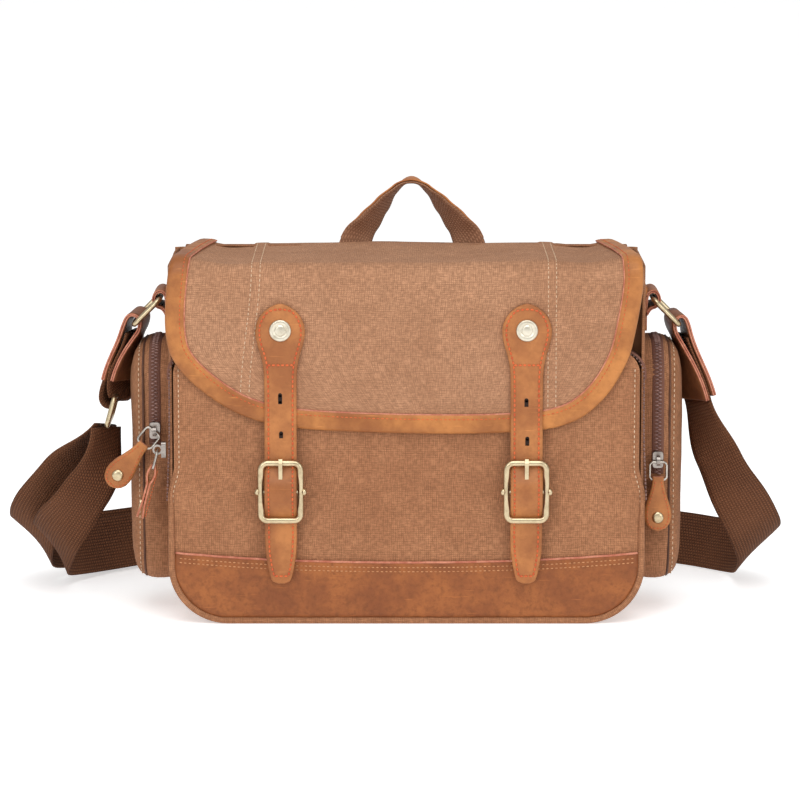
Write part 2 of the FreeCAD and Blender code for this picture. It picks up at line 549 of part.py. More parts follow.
# The webbing lies free behind the bag. The main run goes from the right leather end to the lower
# ring, and the run that comes back from the ring ends at the adjuster.
MAIN_ROUTE = [(199.4, 8, 142.3), (208, 9, 114), (224, 14, 82), (243, 32, 48), (249, 66, 26), (234, 108, 19.5),
              (196, 146, 19.5), (122, 178, 20), (18, 190, 22), (-90, 184, 24), (-176, 164, 22),
              (-232, 126, 20.5), (-262, 80, 28), (-262, 40, 50), (-240, 20, 86), (-218, 14, 110),
              (-206.4, 13, 124.3)]
BACK_ROUTE = [(-205.5, 3, 124), (-206, 0, 100), (-224, 2, 72), (-245, 24, 44), (-247, 62, 26), (-222, 106, 20.5),
              (-170, 145, 22), (-108.9, 170, 24)]


def cord(name, points):
    """A tube along straight runs joined by tangent arcs."""
    spots = [Vector(*point) for point in points]
    edges, start, radii = [], spots[0], []
    for before, corner, after in zip(spots, spots[1:], spots[2:]):
        arriving, leaving = (corner - before), (after - corner)
        half = arriving.getAngle(leaving) / 2
        reach = 0.45 * min(arriving.Length, leaving.Length)
        radius = reach / math.tan(half)
        radii.append(round(radius))
        enter = corner - arriving.normalize() * reach
        leave = corner + leaving.normalize() * reach
        bisector = (leaving - arriving).normalize()
        centre = corner + bisector * (radius / math.cos(half))
        middle = centre - bisector * radius
        edges += [Part.LineSegment(start, enter).toShape(), Part.Arc(enter, middle, leave).toShape()]
        start = leave
    edges.append(Part.LineSegment(start, spots[-1]).toShape())
    path = Part.Wire(edges)
    circle = Part.Circle(spots[0], spots[1] - spots[0], value("webbing_cord/2"))
    tube = path.makePipeShell([Part.Wire([circle.toShape()])], True, False)
    ratio = tube.Volume / (math.pi * value("webbing_cord/2") ** 2 * path.Length)
    print(name, "length", round(path.Length, 1), "radii", radii, "volume ratio", round(ratio, 4))
    keep(name, document.addObject("Part::Feature", name)).Shape = tube


cord("strap_webbing", MAIN_ROUTE)
cord("strap_return", BACK_ROUTE)

adjuster = new_body("adjuster")
round_wire(adjuster, "XZ_Plane", "adjuster_length", "adjuster_span", "ring_corner", "adjuster_wire",
           "-adjuster_span/2")
middle_bar = new_sketch(adjuster, "XY_Plane", "adjuster_bar")
disc(middle_bar, "0", "0", "adjuster_wire*0.4")
grow(adjuster, "Pad", middle_bar, "adjuster_span", both_ways=True)
adjuster.Placement = Placement(Vector(-95.6, 175.1, 24), Rotation(Vector(0, 0, 1), 13))

# The carrying handle: webbing with leather on its outer side, sewn to the back panel.
HANDLE_LOW = "(wall_height - handle_sewn)"
LEATHER_LOW = "(wall_height - handle_leather_sewn)"
HANDLE_TOP = "(wall_height + handle_rise)"
HANDLE = ("handle_shift - handle_width/2", "handle_shift + handle_width/2", HANDLE_LOW,
          f"{HANDLE_TOP} - handle_leather", None, "handle_radius")
webbing = plate("handle_webbing", HANDLE, "handle_depth", f"{BACK} + fit_gap + handle_depth")
cut_out(webbing, "XZ_Plane", (f"{HANDLE[0]} + handle_webbing", f"{HANDLE[1]} - handle_webbing", f"{HANDLE_LOW} - canvas",
                              f"{HANDLE[3]} - handle_webbing", None, "handle_radius - handle_webbing"), "bag_width")
leather = plate("handle_leather", (f"{HANDLE[0]} - handle_leather", f"{HANDLE[1]} + handle_leather",
                                   LEATHER_LOW, HANDLE_TOP, None, "handle_radius + handle_leather"),
                "handle_depth", f"{BACK} + fit_gap + handle_depth")
cut_out(leather, "XZ_Plane", (*HANDLE[:2], f"{LEATHER_LOW} - canvas", HANDLE[3], None, "handle_radius"), "bag_width")

document.recompute()
for thing in document.Objects:
    faults = {"Invalid", "Error"} & set(thing.State)
    if faults:
        raise RuntimeError(f"{thing.Label} is {sorted(faults)}")
for name, piece in PIECES.items():
    shape = piece.Shape
    if shape.isNull() or not shape.isValid() or len(shape.Solids) < 1:
        raise RuntimeError(f"{name} has no valid shape")

os.makedirs("parts", exist_ok=True)
for name, piece in PIECES.items():
    piece.Shape.exportStep(f"parts/{name}.step")
print(len(PIECES), "pieces")
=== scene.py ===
import math

import bmesh
import bpy
from mathutils import Euler, Matrix, Vector, noise


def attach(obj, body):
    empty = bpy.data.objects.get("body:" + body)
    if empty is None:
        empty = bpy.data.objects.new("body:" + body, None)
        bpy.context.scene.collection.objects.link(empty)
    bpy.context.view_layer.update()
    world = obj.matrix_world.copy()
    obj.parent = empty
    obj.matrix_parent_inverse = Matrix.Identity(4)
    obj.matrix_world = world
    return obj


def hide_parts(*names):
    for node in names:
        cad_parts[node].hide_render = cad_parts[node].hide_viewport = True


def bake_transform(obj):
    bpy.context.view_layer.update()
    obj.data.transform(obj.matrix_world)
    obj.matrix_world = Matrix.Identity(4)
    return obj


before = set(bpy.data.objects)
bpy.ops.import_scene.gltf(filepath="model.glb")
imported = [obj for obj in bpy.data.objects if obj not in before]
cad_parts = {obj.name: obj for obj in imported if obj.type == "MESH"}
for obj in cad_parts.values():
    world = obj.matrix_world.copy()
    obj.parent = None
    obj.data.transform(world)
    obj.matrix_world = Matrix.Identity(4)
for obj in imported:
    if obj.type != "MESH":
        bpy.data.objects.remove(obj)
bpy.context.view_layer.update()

# The table, the light and the camera. The bag stands on a plain white floor under broad soft
# lamps, a little below eye level.
scene = bpy.context.scene
scene.view_settings.view_transform = "Standard"
bpy.ops.mesh.primitive_plane_add(size=30)
floor = bpy.context.object
floor.name = "studio_floor"
floor_paint = bpy.data.materials.new("studio_floor")
floor_paint.use_nodes = True
floor_paint.node_tree.nodes["Principled BSDF"].inputs["Base Color"].default_value = (0.93, 0.93, 0.93, 1)
floor_paint.node_tree.nodes["Principled BSDF"].inputs["Roughness"].default_value = 0.9
floor_paint.node_tree.nodes["Principled BSDF"].inputs["Emission Color"].default_value = (1, 1, 1, 1)
floor_paint.node_tree.nodes["Principled BSDF"].inputs["Emission Strength"].default_value = 0.42
floor.data.materials.append(floor_paint)

studio = bpy.data.worlds.new("studio")
studio.use_nodes = True
studio.node_tree.nodes["Background"].inputs["Color"].default_value = (1, 1, 1, 1)
studio.node_tree.nodes["Background"].inputs["Strength"].default_value = 0.62
scene.world = studio

for name, place, width, power in (
    ("lamp_over", (0.0, -0.9, 1.6), 1.4, 17.0),
    ("lamp_left", (-1.2, -2.0, 1.0), 0.9, 9.5),
    ("lamp_right", (1.5, -1.9, 0.9), 0.9, 9.5),
):
    lamp = bpy.data.lights.new(name, "AREA")
    lamp.size, lamp.energy = width, power
    holder = bpy.data.objects.new(name, lamp)
    holder.location = place
    holder.rotation_euler = (Vector((0, 0, 0.12)) - Vector(place)).to_track_quat("-Z", "Y").to_euler()
    scene.collection.objects.link(holder)

camera = bpy.data.objects.new("camera", bpy.data.cameras.new("camera"))
camera.location = (-0.0044, -2.558, 0.560)
aim = Vector((-0.0044, -0.058, 0.1528))
camera.rotation_euler = (aim - camera.location).to_track_quat("-Z", "Y").to_euler()
camera.data.angle = math.radians(12.02)
scene.collection.objects.link(camera)
scene.camera = camera


# The shoulder strap: one long brown cotton webbing, 38 mm wide, sewn to the right-hand leather
# end, laid behind the bag on its edge, and passed up through the left lower ring and back down
# to its adjuster.
MM = 0.001


class Value:
    """A number in a shader that changes over a surface."""

    def __init__(self, finish, socket):
        self.finish, self.socket = finish, socket

    def math(self, operation, *numbers):
        return self.finish.add("ShaderNodeMath", {"operation": operation}, dict(enumerate(numbers)))

    def __add__(self, other):
        return self.math("ADD", self, other)

    def __sub__(self, other):
        return self.math("SUBTRACT", self, other)

    def __rsub__(self, other):
        return self.math("SUBTRACT", other, self)

    def __mul__(self, other):
        return self.math("MULTIPLY", self, other)

    def __truediv__(self, other):
        return self.math("DIVIDE", self, other)

    def __mod__(self, other):
        return self.math("FLOORED_MODULO", self, other)

    def __pow__(self, other):
        return self.math("POWER", self, other)

    __radd__, __rmul__ = __add__, __mul__

    def between(self, low, high):
        """0 below low and 1 above high, with a soft step from one to the other."""
        return self.finish.add(
            "ShaderNodeMapRange",
            {"interpolation_type": "SMOOTHSTEP"},
            {"Value": self, "From Min": low, "From Max": high},
        )


class Finish:
    """A material, and the one way that nodes are added to it."""

    def __init__(self, name):
        self.material = bpy.data.materials.new(name)
        self.material.use_nodes = True
        self.tree = self.material.node_tree
        self.shader = self.tree.nodes["Principled BSDF"]

    def add(self, kind, settings, sockets, output=0):
        node = self.tree.nodes.new(kind)
        for key, setting in settings.items():
            if key == "stops":
                while len(node.color_ramp.elements) < len(setting):
                    node.color_ramp.elements.new(0.5)
                for element, (at, colour) in zip(node.color_ramp.elements, setting):
                    element.position, element.color = at, (*colour, 1)
            else:
                setattr(node, key, setting)
        self.feed(node, sockets)
        return Value(self, node.outputs[output])

    def feed(self, node, sockets):
        for key, given in sockets.items():
            if isinstance(given, Value):
                self.tree.links.new(given.socket, node.inputs[key])
            elif isinstance(given, tuple) and len(given) == 3 and node.inputs[key].type == "RGBA":
                node.inputs[key].default_value = (*given, 1)
            else:
                node.inputs[key].default_value = given

    def place(self, scale=(1, 1, 1), turn=(0, 0, 0)):
        """The place on the piece, in metres, stretched by scale."""
        spot = self.add("ShaderNodeTexCoord", {}, {}, "Object")
        return self.add("ShaderNodeMapping", {}, {"Vector": spot, "Scale": scale, "Rotation": turn})

    def cloth_way(self):
        """The place along and across a band or a panel, in metres, from its own map."""
        return self.add("ShaderNodeUVMap", {"uv_map": "lay"}, {})

    def parts(self, vector):
        """The three numbers of a vector."""
        node = self.tree.nodes.new("ShaderNodeSeparateXYZ")
        self.feed(node, {"Vector": vector})
        return [Value(self, node.outputs[axis]) for axis in "XYZ"]

    def clouds(self, vector, scale, detail=3.0, rough=0.5):
        return self.add(
            "ShaderNodeTexNoise", {}, {"Vector": vector, "Scale": scale, "Detail": detail, "Roughness": rough}, "Fac"
        )

    def mix(self, share, first, second, way="MIX"):
        return self.add(
            "ShaderNodeMix",
            {"data_type": "RGBA", "blend_type": way, "clamp_factor": True},
            {0: share, 6: first, 7: second},
            2,
        )

    def bump(self, height, strength, distance, under=None):
        sockets = {"Height": height, "Strength": strength, "Distance": distance}
        if under is not None:
            sockets["Normal"] = under
        return self.add("ShaderNodeBump", {}, sockets)

    def done(self, **sockets):
        self.feed(self.shader, {key.replace("_", " "): given for key, given in sockets.items()})
        return self.material


def wave(finish, number, pitch):
    """Rounded ridges, from 0 to 1, one for each pitch."""
    turns = number * (2 * math.pi / pitch)
    return turns.math("SINE", turns) * 0.5 + 0.5


def woven(name, yarn, shade, warp, weft, depth=0.35 * MM, rough=0.85, slant=0.0):
    """Coarse webbing: thick twisted yarns that cross in a basket weave."""
    cloth = Finish(name)
    along, across, _ = cloth.parts(cloth.cloth_way())
    along = along + across * slant
    ends, picks = wave(cloth, across, warp), wave(cloth, along, weft)
    half = wave(cloth, across, 2 * warp).between(0.45, 0.55)
    stagger = wave(cloth, along + weft / 2, weft)
    over = ends * (picks * half + stagger * (1 - half))
    fibre = cloth.clouds(cloth.place((1, 1, 1)), 900, 2)
    faded = cloth.clouds(cloth.place(), 22, 3)
    height = over + fibre * 0.35
    # Painted shade: where the weave dips between yarns (low over) the colour falls to the dark shade colour.
    colour = cloth.mix(over.between(0.02, 0.5), shade, yarn)
    colour = cloth.mix(faded * 0.5, colour, tuple(c * 1.35 for c in yarn))
    colour = cloth.mix(fibre * 0.35, colour, shade)
    normal = cloth.bump(height, 0.9, depth)
    return cloth.done(Base_Color=colour, Roughness=rough, Normal=normal, Specular_IOR_Level=0.15)


def made(name, mesh, *finishes, smooth=True):
    """A piece from a bmesh, at the origin, with its finishes."""
    data = bpy.data.meshes.new(name)
    mesh.to_mesh(data)
    mesh.free()
    for finish in finishes:
        data.materials.append(finish)
    data.polygons.foreach_set("use_smooth", [smooth] * len(data.polygons))
    piece = bpy.data.objects.new(name, data)
    scene.collection.objects.link(piece)
    return piece


def lofted(rows, closed=False, lay=None):
    """A grid whose rows are laid along the given rows of points, with its map in metres."""
    mesh = bmesh.new()
    count, steps = len(rows[0]), len(rows)
    bmesh.ops.create_grid(mesh, x_segments=count - 1, y_segments=steps - 1, size=1, calc_uvs=False)
    sides = []
    for vert in mesh.verts:
        column = round((vert.co.x + 1) / 2 * (count - 1))
        row = round((vert.co.y + 1) / 2 * (steps - 1))
        sides.append((row, column))
    for vert, (row, column) in zip(mesh.verts, sides):
        vert.co = rows[row][column]
    layer = mesh.loops.layers.uv.new("lay")
    mesh.verts.index_update()
    reach = [0.0]
    for one, two in zip(rows, rows[1:]):
        middle = count // 2
        reach.append(reach[-1] + (Vector(two[middle]) - Vector(one[middle])).length)
    across = [0.0]
    middle = steps // 2
    for one, two in zip(rows[middle], rows[middle][1:]):
        across.append(across[-1] + (Vector(two) - Vector(one)).length)
    for face in mesh.faces:
        for loop in face.loops:
            row, column = sides[loop.vert.index]
            loop[layer].uv = (reach[row], across[column])
    mesh.normal_update()
    if closed:
        bmesh.ops.remove_doubles(mesh, verts=mesh.verts, dist=1e-6)
        rims = [edge for edge in mesh.edges if edge.is_boundary]
        bmesh.ops.holes_fill(mesh, edges=rims, sides=0)
        bmesh.ops.recalc_face_normals(mesh, faces=mesh.faces)
    return mesh


def traced(points, order=3):
    """The smooth line that a NURBS spline draws with these points."""
    curve = bpy.data.curves.new("line", "CURVE")
    curve.dimensions = "3D"
    curve.resolution_u = 16
    spline = curve.splines.new("NURBS")
    spline.points.add(len(points) - 1)
    for knot, point in zip(spline.points, points):
        knot.co = (*point, 1)
    spline.order_u = order
    spline.use_endpoint_u = True
    holder = bpy.data.objects.new("line", curve)
    scene.collection.objects.link(holder)
    mesh = bpy.data.meshes.new_from_object(holder)
    line = [vert.co.copy() for vert in mesh.vertices]
    bpy.data.objects.remove(holder)
    bpy.data.meshes.remove(mesh)
    bpy.data.curves.remove(curve)
    return line


def evenly(line, count):
    """Count points at even steps along a line."""
    lengths = [0.0]
    for one, two in zip(line, line[1:]):
        lengths.append(lengths[-1] + (two - one).length)
    spots, index = [], 0
    for step in range(count):
        want = lengths[-1] * step / (count - 1)
        while index < len(line) - 2 and lengths[index + 1] < want:
            index += 1
        span = max(lengths[index + 1] - lengths[index], 1e-9)
        spots.append(line[index].lerp(line[index + 1], min(1.0, (want - lengths[index]) / span)))
    return spots


def long(line):
    return sum((two - one).length for one, two in zip(line, line[1:]))


def heading(line, index):
    return (line[min(index + 1, len(line) - 1)] - line[max(index - 1, 0)]).normalized()


def blended(stops, share):
    """The direction at a share of the way, between stops of (share, direction)."""
    for (low, first), (high, second) in zip(stops, stops[1:]):
        if share <= high:
            part = (share - low) / (high - low)
            part = part * part * (3 - 2 * part)
            return Vector(first).lerp(Vector(second), part).normalized()
    return Vector(stops[-1][1]).normalized()


def band(line, facing, width, thick, columns=9, pillow=0.0, rounding=0.35):
    """A flat strap along a line; facing gives the way its width lies."""
    rows = []
    for index, point in enumerate(line):
        share = index / (len(line) - 1)
        ahead = heading(line, index)
        side = blended(facing, share)
        side = (side - ahead * side.dot(ahead)).normalized()
        out = side.cross(ahead).normalized()
        wide = width(share) if callable(width) else width
        ring = []
        for column in range(columns):
            part = column / (columns - 1) * 2 - 1
            edge = 1 - rounding * abs(part) ** 8
            ring.append(point + side * (wide / 2 * part) + out * (thick / 2 * edge + pillow * (1 - part * part)))
        for column in range(columns):
            part = 1 - column / (columns - 1) * 2
            edge = 1 - rounding * abs(part) ** 8
            ring.append(point + side * (wide / 2 * part) - out * (thick / 2 * edge - pillow * (1 - part * part)))
        ring.append(ring[0].copy())
        rows.append(ring)
    return lofted(rows, closed=True)


webbing = woven("brown_webbing", (0.190, 0.076, 0.034), (0.030, 0.010, 0.005), 2.1 * MM, 2.3 * MM, 0.6 * MM, slant=0.35)
MAIN_ROUTE = [
    (199.4, 8, 142.3), (208, 9, 114), (224, 14, 82), (243, 32, 48), (249, 66, 26), (234, 108, 19.5),
    (196, 146, 19.5), (122, 178, 20), (18, 190, 22), (-90, 184, 24), (-176, 164, 22), (-232, 126, 20.5),
    (-262, 80, 28), (-262, 40, 50), (-240, 20, 86), (-218, 14, 110), (-206.4, 13, 124.3),
]
BACK_ROUTE = [
    (-205.5, 3, 124), (-206, 0, 100), (-224, 2, 72), (-245, 24, 44), (-247, 62, 26), (-222, 106, 20.5),
    (-170, 145, 22), (-108.9, 170, 24),
]
main_line = evenly(traced([Vector(p) * MM for p in MAIN_ROUTE]), 260)
main_facing = [
    (0.00, (0.42, -0.90, 0.0)), (0.05, (0.70, -0.60, 0.30)), (0.11, (0.85, -0.10, 0.52)), (0.16, (0.72, 0.0, 0.70)),
    (0.24, (0.10, 0.05, 1.0)), (0.70, (0.0, 0.0, 1.0)), (0.80, (-0.25, 0.0, 0.97)), (0.88, (-0.75, -0.05, 0.66)),
    (0.95, (-0.70, -0.45, 0.30)), (1.00, (-0.45, -0.89, 0.0)),
]
back_line = evenly(traced([Vector(p) * MM for p in BACK_ROUTE]), 110)
back_facing = [
    (0.00, (-0.45, -0.89, 0.0)), (0.16, (-0.75, -0.45, 0.40)), (0.32, (-0.70, 0.0, 0.70)), (0.50, (-0.25, 0.0, 0.97)),
    (1.00, (0.0, 0.0, 1.0)),
]
STRAP_WIDE, STRAP_THICK = 38 * MM, 2.2 * MM
strap_webbing = made("strap_webbing_cloth", band(main_line, main_facing, STRAP_WIDE, STRAP_THICK), webbing)
strap_return = made("strap_return_cloth", band(back_line, back_facing, STRAP_WIDE, STRAP_THICK), webbing)
for piece, node in ((strap_webbing, "strap_webbing"), (strap_return, "strap_return")):
    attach(piece, "shoulder_strap")
    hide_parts(node)


# The bag's canvas: a brown cotton body cut in a front, a back and one long gusset, stiff enough to
# stand by itself, with soft creases where it is sewn to the leather.
def canvas(name, pale, deep, worn=0.5):
    """Plain-woven cotton, washed and a little faded."""
    cloth = Finish(name)
    along, across, _ = cloth.parts(cloth.cloth_way())
    spot = cloth.place()
    ends, picks = wave(cloth, along, 1.3 * MM), wave(cloth, across, 1.3 * MM)
    slub = cloth.clouds(cloth.add("ShaderNodeMapping", {}, {"Vector": cloth.cloth_way(), "Scale": (1, 5, 1)}), 220, 3)
    slub_across = cloth.clouds(
        cloth.add("ShaderNodeMapping", {}, {"Vector": cloth.cloth_way(), "Scale": (5, 1, 1)}), 220, 3
    )
    cloud = cloth.clouds(spot, 14, 4, 0.6)
    rub = cloth.clouds(spot, 75, 4, 0.65)
    weave = ends * picks + slub * 0.5 + slub_across * 0.5
    colour = cloth.mix(cloud.between(0.32, 0.7), deep, pale)
    colour = cloth.mix(rub.between(0.35, 0.75) * worn, colour, tuple(min(1, c * 1.25) for c in pale))
    # Painted shade between the threads: where the weave's bump is low the colour darkens towards deep * 0.45; the slub
    # part also gives the yarn's own uneven tone.
    yarn = (ends * picks).between(0.0, 0.5) * 0.35 + (slub * slub_across).between(0.14, 0.4) * 0.65
    colour = cloth.mix((1 - yarn) * 0.8, colour, tuple(c * 0.45 for c in deep))
    creases = cloth.bump(rub, 0.25, 0.8 * MM)
    normal = cloth.bump(weave, 0.55, 0.25 * MM, creases)
    return cloth.done(Base_Color=colour, Roughness=0.92, Normal=normal, Specular_IOR_Level=0.22)


def hide(name, light, deep, gloss=0.5, cloud_size=30, patch=0.5, grain=0.35, sheen=0.35):
    """Oiled pull-up leather: mottled where it was bent and rubbed, with fine scratches."""
    skin = Finish(name)
    spot = skin.place()
    cloud = skin.clouds(spot, cloud_size, 5, 0.62)
    fleck = skin.clouds(spot, cloud_size * 7, 4, 0.7)
    pores = skin.add("ShaderNodeTexVoronoi", {"feature": "F1"}, {"Vector": spot, "Scale": 900}, "Distance")
    scratch = skin.clouds(skin.place((6, 30, 90), (0.3, 0.2, 0.7)), 9, 2, 0.5)
    colour = skin.mix(cloud.between(0.34, 0.68), deep, light)
    colour = skin.mix(fleck.between(0.42, 0.75) * patch, colour, tuple(c * 0.62 for c in deep))
    colour = skin.mix((1 - scratch.between(0.2, 0.36)) * 0.45, colour, tuple(min(1, c * 1.5) for c in light))
    roughness = cloud * 0.25 + fleck * 0.2 + gloss - 0.15
    normal = skin.bump(fleck, 0.2, 0.5 * MM)
    normal = skin.bump(pores, grain, 0.18 * MM, normal)
    return skin.done(Base_Color=colour, Roughness=roughness, Normal=normal, Specular_IOR_Level=sheen)


canvas_body = canvas("canvas_body", (0.430, 0.198, 0.098), (0.345, 0.148, 0.070))
# A darker copy of the body canvas: painted shade for the side-facing gusset and pockets, and for the hem, inner wall
# and base board inside the bag.
canvas_side_shaded = canvas("canvas_side_shaded", (0.405, 0.186, 0.094), (0.305, 0.130, 0.060))
canvas_flap = canvas("canvas_flap", (0.490, 0.255, 0.143), (0.400, 0.196, 0.105))
tan_leather = hide("tan_leather", (0.470, 0.180, 0.052), (0.330, 0.112, 0.032))
raw_edge = hide("raw_leather_edge", (0.560, 0.235, 0.150), (0.400, 0.120, 0.070), gloss=0.8, cloud_size=160)

HALF, HIGH, FRONT, BACK = 160 * MM, 242 * MM, -56 * MM, 56 * MM
CORNER, FRONT_HIGH, TRIM_TOP = 40 * MM, 186 * MM, 42.5 * MM


def half_width(z, inset=0.0, top=None):
    """Half the width of the bag's front at a height, with its rounded lower corners."""
    radius = CORNER - inset
    if z < CORNER:
        drop = min(CORNER - z, radius)
        return HALF - CORNER + math.sqrt(max(radius * radius - drop * drop, 0))
    if top is not None and z > top - 16 * MM:
        rise = min(z - top + 16 * MM, 16 * MM)
        return HALF - inset - 16 * MM + math.sqrt(max((16 * MM) ** 2 - rise * rise, 0))
    return HALF - inset


def soft(low, high, number):
    share = min(1.0, max(0.0, (number - low) / (high - low)))
    return share * share * (3 - 2 * share)


def crease(x, z, scale, seed):
    return noise.noise(Vector((x * scale, z * scale * 0.8, seed)))


def front_face(x, z):
    """How far forward the front canvas stands at a spot."""
    edge = soft(0, 14 * MM, half_width(z, 0) - abs(x)) * soft(0, 10 * MM, z)
    open_part = 1 - soft(112 * MM, 128 * MM, z) * (1 - soft(128 * MM, 150 * MM, abs(x)))
    under_flap = 1 - soft(118 * MM, 150 * MM, z)
    belly = 1.2 * MM * edge * open_part * (0.4 + 0.6 * under_flap)
    folds = (crease(x, z, 16, 3.1) * 0.9 + crease(x, z, 38, 7.7) * 0.45) * MM
    pucker = 0.35 * MM * math.sin(x * 330 + 2 * crease(x, z, 30, 1)) * math.exp(-abs(z - 48 * MM) / (7 * MM))
    return FRONT + 0.4 * MM - belly - (folds * edge + pucker * edge) * open_part * (0.35 + 0.65 * under_flap)


def turned_back(x, z, inset=5 * MM):
    """The rounding of the panel's rim, back towards its piping."""
    gap = half_width(z, 0) - abs(x)
    return 1.8 * MM * (1 - soft(0, inset, min(gap, z + 0.5 * MM)))


def panel_rows(columns, rows, top, face, lowest=0.3 * MM, corner_top=None):
    made_rows = []
    for row in range(rows):
        share = row / (rows - 1)
        z = lowest + (top - lowest) * (share**1.25)
        wide = half_width(z, 0, corner_top)
        if corner_top is not None:
            wide -= 4.4 * MM * soft(86 * MM, 108 * MM, z)
        made_rows.append([
            Vector((u, face(u, z), z))
            for u in (wide * math.sin(math.pi / 2 * (2 * c / (columns - 1) - 1)) for c in range(columns))
        ])
    return made_rows


def thickened(piece, thick):
    """Gives an open sheet its thickness, inwards."""
    solid = piece.modifiers.new("thickness", "SOLIDIFY")
    solid.thickness, solid.offset = thick, -1
    settled = piece.evaluated_get(bpy.context.evaluated_depsgraph_get())
    data = bpy.data.meshes.new_from_object(settled)
    piece.modifiers.clear()
    piece.data = data
    return piece


def facing_out(mesh, outward):
    """Turns a sheet's faces so that they look along outward."""
    total = Vector()
    for face in mesh.faces:
        total += face.normal * face.calc_area()
    if total.dot(Vector(outward)) < 0:
        bmesh.ops.reverse_faces(mesh, faces=mesh.faces)
    return mesh


front = lofted(panel_rows(150, 90, FRONT_HIGH, lambda x, z: front_face(x, z) + turned_back(x, z), 0.3 * MM, FRONT_HIGH))
front_canvas = thickened(made("front_canvas", facing_out(front, (0, -1, 0)), canvas_body), 1.6 * MM)
back = lofted(panel_rows(
    90, 60, HIGH,
    lambda x, z: BACK - 0.5 * MM + 1.6 * MM * soft(0, 20 * MM, min(half_width(z) - abs(x), z, HIGH - z))
    + (crease(x, z, 14, 9.2) * 1.3 + crease(x, z, 40, 2.2) * 0.4) * MM * soft(0, 16 * MM, min(half_width(z) - abs(x), z))
    - turned_back(x, z),
))
back_canvas = thickened(made("back_canvas", facing_out(back, (0, 1, 0)), canvas_body), 1.6 * MM)


def rim_line(inset, top, steps=16):
    """The U of the bag's sides and base, from the top of the left side round to the right."""
    radius = CORNER - inset
    left = [Vector((-HALF + inset, 0, z)) for z in [top - (top - CORNER) * k / 40 for k in range(41)]]
    turn = [
        Vector((-HALF + CORNER - radius * math.cos(a), 0, CORNER - radius * math.sin(a)))
        for a in [math.pi / 2 * k / steps for k in range(1, steps + 1)]
    ]
    half_line = left + turn
    right = [Vector((-point.x, 0, point.z)) for point in reversed(half_line)]
    base = [Vector(((k / 24 * 2 - 1) * (HALF - CORNER), 0, inset)) for k in range(1, 24)]
    return half_line + base + right


gusset_rows = []
for point in rim_line(0.4 * MM, HIGH - 1 * MM):
    inward = Vector((-point.x, 0, 60 * MM - point.z)).normalized() if point.z < CORNER else Vector((-math.copysign(1, point.x), 0, 0))
    row = []
    for column in range(25):
        part = column / 24 * 2 - 1
        rim = 1.6 * MM * abs(part) ** 10
        sag = (crease(part * 0.05, point.z + point.x, 25, 5.5) * 0.8 + 0.2) * MM * (1 - part * part)
        row.append(point + inward * (rim + max(0, sag)) + Vector((0, part * (BACK - 2 * MM), 0)))
    gusset_rows.append(row)
gusset = lofted(gusset_rows)
if max(gusset.faces, key=lambda face: face.calc_center_median().x).normal.x < 0:
    bmesh.ops.reverse_faces(gusset, faces=gusset.faces)
gusset_canvas = thickened(made("gusset_canvas", gusset, canvas_side_shaded), 1.4 * MM)

for piece, nodes in ((front_canvas, ["front_panel"]), (back_canvas, ["back_panel"]), (gusset_canvas, ["gusset"])):
    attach(piece, "bag")
    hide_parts(*nodes)


# The piping: a cord covered in the same canvas, sewn into the seam round the front's sides and
# base, and round the back.
def tube(line, radius, across=10, squash=1.0, up=Vector((0, 1, 0))):
    """A round or oval tube along a line."""
    rows = []
    for index, point in enumerate(line):
        ahead = heading(line, index)
        side = up.cross(ahead).normalized()
        lift = ahead.cross(side).normalized()
        thick = radius(point) if callable(radius) else radius
        rows.append([
            point + side * (math.cos(a) * thick) + lift * (math.sin(a) * thick * squash)
            for a in [2 * math.pi * k / across for k in range(across + 1)]
        ])
    return lofted(rows, closed=True)


front_pipe = [
    Vector((p.x - math.copysign(1, p.x) * 3.6 * MM * soft(86 * MM, 108 * MM, p.z), FRONT - 0.1 * MM + 0.8 * MM * soft(60 * MM, 100 * MM, p.z), p.z))
    for p in rim_line(2.3 * MM, 172 * MM)
]
back_pipe = [Vector((p.x, BACK + 0.1 * MM, p.z)) for p in rim_line(2.3 * MM, HIGH - 2 * MM)]
for name, line, flat in (("front_piping_cloth", front_pipe, 1.0), ("back_piping_cloth", back_pipe, 1.0)):
    pipe = made(name, tube(
        evenly(line, 300), lambda p, name=name: (2.3 - (1.3 * soft(50 * MM, 100 * MM, p.z) if name.startswith("front") else 0)) * MM, 10, flat,
    ), canvas_body)
    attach(pipe, "bag")
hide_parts("piping")


# Every seam is sewn with thick thread. One stitch is a short oval bead that lies along the seam,
# and each seam is one piece.
def thread(name, colour, shade):
    yarn = Finish(name)
    twist = wave(yarn, yarn.parts(yarn.place((1, 1, 1), (0.6, 0.6, 0.6)))[0], 0.5 * MM)
    tint = yarn.mix(yarn.clouds(yarn.place(), 300, 2).between(0.3, 0.7), colour, shade)
    return yarn.done(
        Base_Color=yarn.mix(twist * 0.4, tint, tuple(c * 0.6 for c in shade)), Roughness=0.7,
        Normal=yarn.bump(twist, 0.5, 0.2 * MM),
    )


cream_thread = thread("cream_thread", (0.72, 0.52, 0.36), (0.55, 0.36, 0.22))
orange_thread = thread("orange_thread", (0.72, 0.15, 0.035), (0.50, 0.075, 0.018))
tan_thread = thread("tan_thread", (0.62, 0.30, 0.13), (0.45, 0.19, 0.07))


